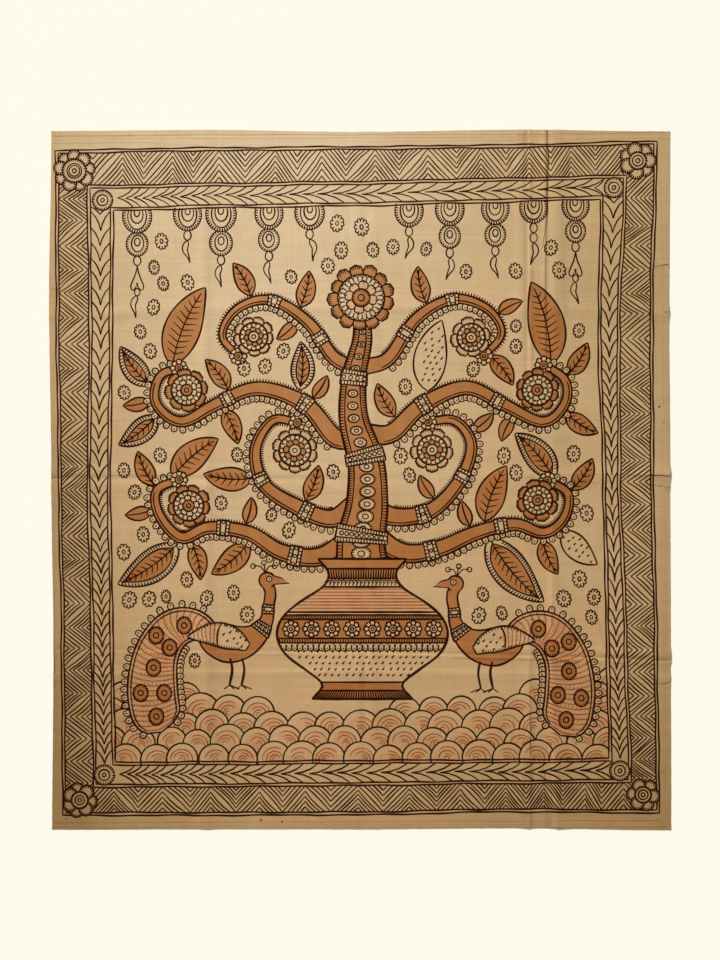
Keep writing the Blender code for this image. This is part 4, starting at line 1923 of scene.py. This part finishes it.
def weave_group():
    """Plain weave: threads over and under each other, with thick and thin places along them."""
    group, net, into, out = new_group(
        "plain_weave",
        (
            ("INPUT", "Vector", "Place", None),
            ("INPUT", "Float", "Threads in a metre", 1400.0),
            ("OUTPUT", "Float", "Height", None),
            ("OUTPUT", "Float", "Shade", None),
        ),
    )
    spot = net.add("SeparateXYZ", {0: into.outputs["Place"]})
    waves = []
    for axis in ("X", "Y"):
        turns = net.math("MULTIPLY", into.outputs["Threads in a metre"], math.pi)
        angle = net.math("MULTIPLY", spot.outputs[axis], turns)
        waves.append(net.math("SINE", angle))
    crossing = net.math("MULTIPLY", *waves)
    down = net.noise(into.outputs["Place"], 900.0, 2.0, 0.6, (1.0, 0.018, 1.0))
    across = net.noise(into.outputs["Place"], 900.0, 2.0, 0.6, (0.018, 1.0, 1.0))
    slubs = net.math("ADD", down, across)
    height = net.math("ADD", net.math("MULTIPLY", crossing, 0.35), net.math("MULTIPLY", slubs, 0.9))
    wide_down = net.noise(into.outputs["Place"], 260.0, 2.0, 0.6, (1.0, 0.02, 1.0))
    wide_across = net.noise(into.outputs["Place"], 260.0, 2.0, 0.6, (0.02, 1.0, 1.0))
    wide = net.math("ADD", net.math("MULTIPLY", wide_down, 0.3), net.math("MULTIPLY", wide_across, 0.6))
    shade = net.math("MULTIPLY_ADD", slubs, 0.55, wide)
    net.put(out.inputs["Height"], height)
    net.put(out.inputs["Shade"], shade)
    return group


def tan_falloff_group():
    """How dark the tan ground is made, from 0 at its lightest to 1 at its deepest: painted light falloff
    from the top down to the foot, painted shade along the side edges and the foot, a deeper tone to the
    upper right, and random blotches.
    """
    group, net, into, out = new_group(
        "tan_bath",
        (
            ("INPUT", "Vector", "Place", None),
            ("INPUT", "Float", "Blotches", 0.24),
            ("OUTPUT", "Float", "Depth", None),
        ),
    )
    spot = net.add("SeparateXYZ", {0: into.outputs["Place"]})
    x, y = spot.outputs["X"], spot.outputs["Y"]
    # Painted light falloff: darker from the top of the cloth down to its foot
    painted_falloff = net.spread(y, 0.44, -0.56, 0.08, 0.72)
    to_right, to_top = net.spread(x, -0.08, 0.32, 0.0, 0.38), net.spread(y, -0.2, 0.40, 0.16, 1.0)
    right = net.math("MULTIPLY", to_right, to_top)
    # Painted shade along the left and right edges, and along the foot below
    painted_left_edge_shade = net.math("POWER", net.math("MULTIPLY", x, -1.93, clamp=True), 4.0)
    painted_right_edge_shade = net.math("POWER", net.math("MULTIPLY", x, 1.93, clamp=True), 4.0)
    foot = net.spread(y, -0.50, -0.585, 0.0, 0.03)
    sides = net.math("ADD", net.math("MULTIPLY", painted_left_edge_shade, 0.38), net.math("MULTIPLY", painted_right_edge_shade, 0.16))
    painted_edge_shade = net.math("ADD", sides, foot)
    depth = net.math("ADD", net.math("ADD", painted_falloff, right), painted_edge_shade)
    cloud = net.noise(into.outputs["Place"], 5.0, 4.0, 0.55)
    speck = net.noise(into.outputs["Place"], 42.0, 5.0, 0.65)
    cloud, speck = net.math("MULTIPLY", cloud, 1.3), net.math("MULTIPLY", speck, 0.7)
    cloud = net.math("SUBTRACT", net.math("ADD", cloud, speck), 1.0)
    falloff_and_blotches = net.math("MULTIPLY_ADD", cloud, into.outputs["Blotches"], depth, clamp=True)
    net.put(out.inputs["Depth"], falloff_and_blotches)
    return group


# What the ground's patches, its foot and its upper right are tinted with
PINK_TINT = (1.0, 0.965, 0.93, 1.0)
COOL_TINT = (0.985, 1.0, 1.0, 1.0)
OLIVE_TINT = (0.955, 0.995, 0.965, 1.0)


def place_group(net, group, inputs):
    node = net.tree.nodes.new("ShaderNodeGroup")
    node.node_tree = group
    for key, value in inputs.items():
        net.put(node.inputs[key], value)
    return node


def tan_ground(net, place, weave, settings):
    """The undyed cloth: a tan ramp that carries the painted light falloff and edge shade, shaded by its
    threads, with pink, cool and olive tints.
    """
    # The ramp follows the painted light falloff and edge shade, and the blotches
    bath = place_group(net, tan_falloff_group(), {"Place": place})
    ramp = net.add("ValToRGB", {0: bath.outputs["Depth"]})
    stops = ramp.color_ramp.elements
    stops[0].position, stops[1].position = 0.0, 1.0
    stops[0].color = (*settings.ground_light, 1.0)
    stops[1].color = (*settings.ground_deep, 1.0)
    stops.new(0.5).color = (*settings.ground_middle, 1.0)
    shade = net.spread(weave.outputs["Shade"], 0.6, 1.4, 0.85, 1.15)
    threads = net.add("CombineColor", {0: shade, 1: shade, 2: shade})
    cloth = net.mix(1.0, ramp.outputs["Color"], threads, "MULTIPLY")
    blush = net.spread(net.noise(place, 11.0, 4.0, 0.6), 0.36, 0.64)
    patches = net.mix(blush, PINK_TINT, COOL_TINT)
    cloth = net.mix(1.0, cloth.outputs[2], patches.outputs[2], "MULTIPLY")
    spot = net.add("SeparateXYZ", {0: place})
    right, low = net.spread(spot.outputs["X"], 0.12, 0.42), net.spread(spot.outputs["Y"], -0.15, 0.30)
    olive = net.math("MULTIPLY", net.math("MULTIPLY", right, low), 0.95)
    foot = net.spread(spot.outputs["Y"], -0.10, -0.50)
    cloth = net.mix(foot, cloth.outputs[2], PINK_TINT, "MULTIPLY")
    cloth = net.mix(olive, cloth.outputs[2], OLIVE_TINT, "MULTIPLY")
    return cloth


def cotton_material(settings):
    """Hand-woven cotton with a tan ground, and each dye where the drawing put it."""
    material = bpy.data.materials.new("hand_dyed_cotton")
    material.use_nodes = True
    net = Net(material.node_tree)
    shader = material.node_tree.nodes["Principled BSDF"]
    place = net.add("TexCoord").outputs["Object"]
    weave = place_group(net, weave_group(), {"Place": place, "Threads in a metre": settings.threads})
    cloth = tan_ground(net, place, weave, settings)
    take = {}
    # Each dye's share at each face; the ink share also holds the painted shade along the folds and creases
    for dye in ("ochre", "rose", "red", "ink"):
        take[dye] = net.add("Attribute", attribute_name=dye).outputs["Fac"]
    brush = net.noise(place, 60.0, 4.0, 0.6, (1.0, 0.45, 1.0))
    patch = net.noise(place, 16.0, 3.0, 0.5)
    strokes = net.math("ADD", net.math("MULTIPLY", brush, 0.5), net.math("MULTIPLY", patch, 0.5))
    uneven = net.spread(strokes, 0.35, 0.65, 0.86, 1.0)
    fine = net.spread(net.noise(place, 700.0, 2.0, 0.6), 0.3, 0.7, 0.975, 1.0)
    amounts = {
        "rose": net.math("MULTIPLY", take["rose"], net.spread(patch, 0.35, 0.65, 0.55, 1.0)),
        "ochre": net.math("MULTIPLY", take["ochre"], uneven),
        "red": net.math("MULTIPLY", take["red"], net.spread(brush, 0.3, 0.7, 0.6, 1.0)),
        "ink": net.math("MULTIPLY", take["ink"], fine),
    }
    for dye in ("rose", "ochre", "red", "ink"):
        cloth = net.mix(amounts[dye], cloth.outputs[2], (*getattr(settings, dye), 1.0), "MULTIPLY")
    net.put(shader.inputs["Base Color"], cloth.outputs[2])
    net.put(shader.inputs["Roughness"], net.spread(weave.outputs["Shade"], 0.6, 1.4, 0.93, 0.82))
    shader.inputs["Specular IOR Level"].default_value = 0.04
    crumple = net.noise(place, 55.0, 4.0, 0.55)
    threads_high = net.math("MULTIPLY", weave.outputs["Height"], 0.35)
    height = net.math("ADD", threads_high, net.math("MULTIPLY", crumple, 1.2))
    bump = net.add("Bump", {"Strength": 0.28, "Distance": 0.0006, "Height": height})
    net.put(shader.inputs["Normal"], bump)
    return material


def plain_material(name, colour, roughness):
    material = bpy.data.materials.new(name)
    material.use_nodes = True
    shader = material.node_tree.nodes["Principled BSDF"]
    shader.inputs["Base Color"].default_value = (*colour, 1.0)
    shader.inputs["Roughness"].default_value = roughness
    return material


def colour_property(name, description, colour):
    return bpy.props.FloatVectorProperty(
        name=name, description=description, subtype="COLOR", size=3, min=0.0, max=1.0, default=colour
    )


class CottonSheetSettings(bpy.types.PropertyGroup):
    """Sizes and dyes of the cloth"""

    thickness: bpy.props.FloatProperty(
        name="Thickness", description="How thick the cloth is", default=0.001, min=0.0005, max=0.003,
        unit="LENGTH", precision=4,
    )
    threads: bpy.props.FloatProperty(
        name="Threads in a metre",
        description="How many threads cross one metre of the cloth",
        default=1400.0,
    )
    # The tan ramp's colours run from the top of the cloth to where the painted light falloff and edge shade
    # are strongest, at the foot and the sides
    ground_light: colour_property(
        "Light ground", "The tan ground where it is lightest", linear(223, 197, 159)
    )
    ground_middle: colour_property(
        "Middle ground", "The tan ground between", linear(196, 162, 119)
    )
    ground_deep: colour_property(
        "Deep ground", "The tan ground where it is deepest", linear(147, 117, 76)
    )
    ochre: colour_property("Ochre dye", "What the ochre dye lets through", (0.66, 0.36, 0.18))
    rose: colour_property("Rose wash", "What the rose wash lets through", (0.95, 0.78, 0.68))
    red: colour_property("Red dye", "What the red dye lets through", (0.56, 0.16, 0.10))
    ink: colour_property("Iron black", "What the iron black lets through", (0.040, 0.007, 0.001))


class CottonStageSettings(bpy.types.PropertyGroup):
    """The camera, lights and floor"""

    lens: bpy.props.FloatProperty(
        name="Lens", description="The camera's focal length", default=85.0, min=20.0, max=300.0,
        unit="CAMERA",
    )
    view_height: bpy.props.FloatProperty(
        name="Seen height", description="How much of the floor the picture's height takes in",
        default=1.6037, unit="LENGTH",
    )
    sun: bpy.props.FloatProperty(name="Sun", description="Strength of the soft lamp", default=3.45, min=0.0)
    sky: bpy.props.FloatProperty(
        name="Sky", description="Strength of the light from all round", default=0.35, min=0.0
    )
    floor: colour_property("Floor", "The pale floor", linear(250, 249, 236))


class COTTONPANEL_OT_sheet(bpy.types.Operator):
    """Make the drawn cotton sheet, with its folds and its dyes"""

    bl_idname = "cotton_panel.sheet"
    bl_label = "Make the drawn sheet"

    def execute(self, context):
        settings = context.scene.cotton_sheet
        sheet = make_sheet(settings)
        sheet.data.materials.append(cotton_material(settings))
        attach(sheet, "root")
        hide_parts("cotton_panel")
        return {"FINISHED"}


class COTTONPANEL_OT_stage(bpy.types.Operator):
    """Make the camera, the lights and the floor"""

    bl_idname = "cotton_panel.stage"
    bl_label = "Make the stage"

    def execute(self, context):
        settings = context.scene.cotton_stage
        scene = context.scene
        camera = bpy.data.cameras.new("view_from_above")
        camera.lens = settings.lens
        camera.sensor_width = 36.0
        camera.clip_end = 50.0
        seen_from = bpy.data.objects.new("view_from_above", camera)
        seen_from.location = (0.0001, -0.0003, settings.view_height * settings.lens / 36.0)
        scene.collection.objects.link(seen_from)
        scene.camera = seen_from
        lamp = bpy.data.lights.new("soft_lamp", "SUN")
        lamp.energy = settings.sun
        lamp.angle = math.radians(9.0)
        lamp.color = (1.0, 0.995, 0.985)
        lamp_object = bpy.data.objects.new("soft_lamp", lamp)
        lamp_object.rotation_euler = Vector((-0.66, 0.66, 0.72)).to_track_quat("Z", "Y").to_euler()
        scene.collection.objects.link(lamp_object)
        world = bpy.data.worlds.new("pale_surroundings")
        scene.world = world
        world.use_nodes = True
        world.node_tree.nodes["Background"].inputs["Color"].default_value = (1.0, 0.995, 0.96, 1.0)
        world.node_tree.nodes["Background"].inputs["Strength"].default_value = settings.sky
        bpy.ops.mesh.primitive_plane_add(size=14.0, location=(0.0, 0.0, -0.0002))
        floor = context.object
        floor.name = "pale_floor"
        floor.data.materials.append(plain_material("pale_floor", settings.floor, 0.9))
        scene.view_settings.view_transform = "Standard"
        return {"FINISHED"}


class COTTONPANEL_PT_pieces(bpy.types.Panel):
    """Shows the settings of the cloth and of the stage, each with the button that makes it"""

    bl_idname = "COTTONPANEL_PT_pieces"
    bl_label = "Cotton panel"
    bl_space_type = "VIEW_3D"
    bl_region_type = "UI"
    bl_category = "Cotton panel"

    def draw(self, context):
        for settings, operator in (
            (context.scene.cotton_sheet, COTTONPANEL_OT_sheet),
            (context.scene.cotton_stage, COTTONPANEL_OT_stage),
        ):
            box = self.layout.box()
            for name in settings.__annotations__:
                box.prop(settings, name)
            box.operator(operator.bl_idname)


CLASSES = (
    CottonSheetSettings,
    CottonStageSettings,
    COTTONPANEL_OT_sheet,
    COTTONPANEL_OT_stage,
    COTTONPANEL_PT_pieces,
)


def register():
    for one in CLASSES:
        bpy.utils.register_class(one)
    bpy.types.Scene.cotton_sheet = bpy.props.PointerProperty(type=CottonSheetSettings)
    bpy.types.Scene.cotton_stage = bpy.props.PointerProperty(type=CottonStageSettings)


def unregister():
    del bpy.types.Scene.cotton_stage
    del bpy.types.Scene.cotton_sheet
    for one in reversed(CLASSES):
        bpy.utils.unregister_class(one)


def main():
    register()
    bpy.ops.object.select_all(action="DESELECT")
    bpy.ops.cotton_panel.stage()
    bpy.ops.cotton_panel.sheet()


if __name__ == "__main__":
    main()
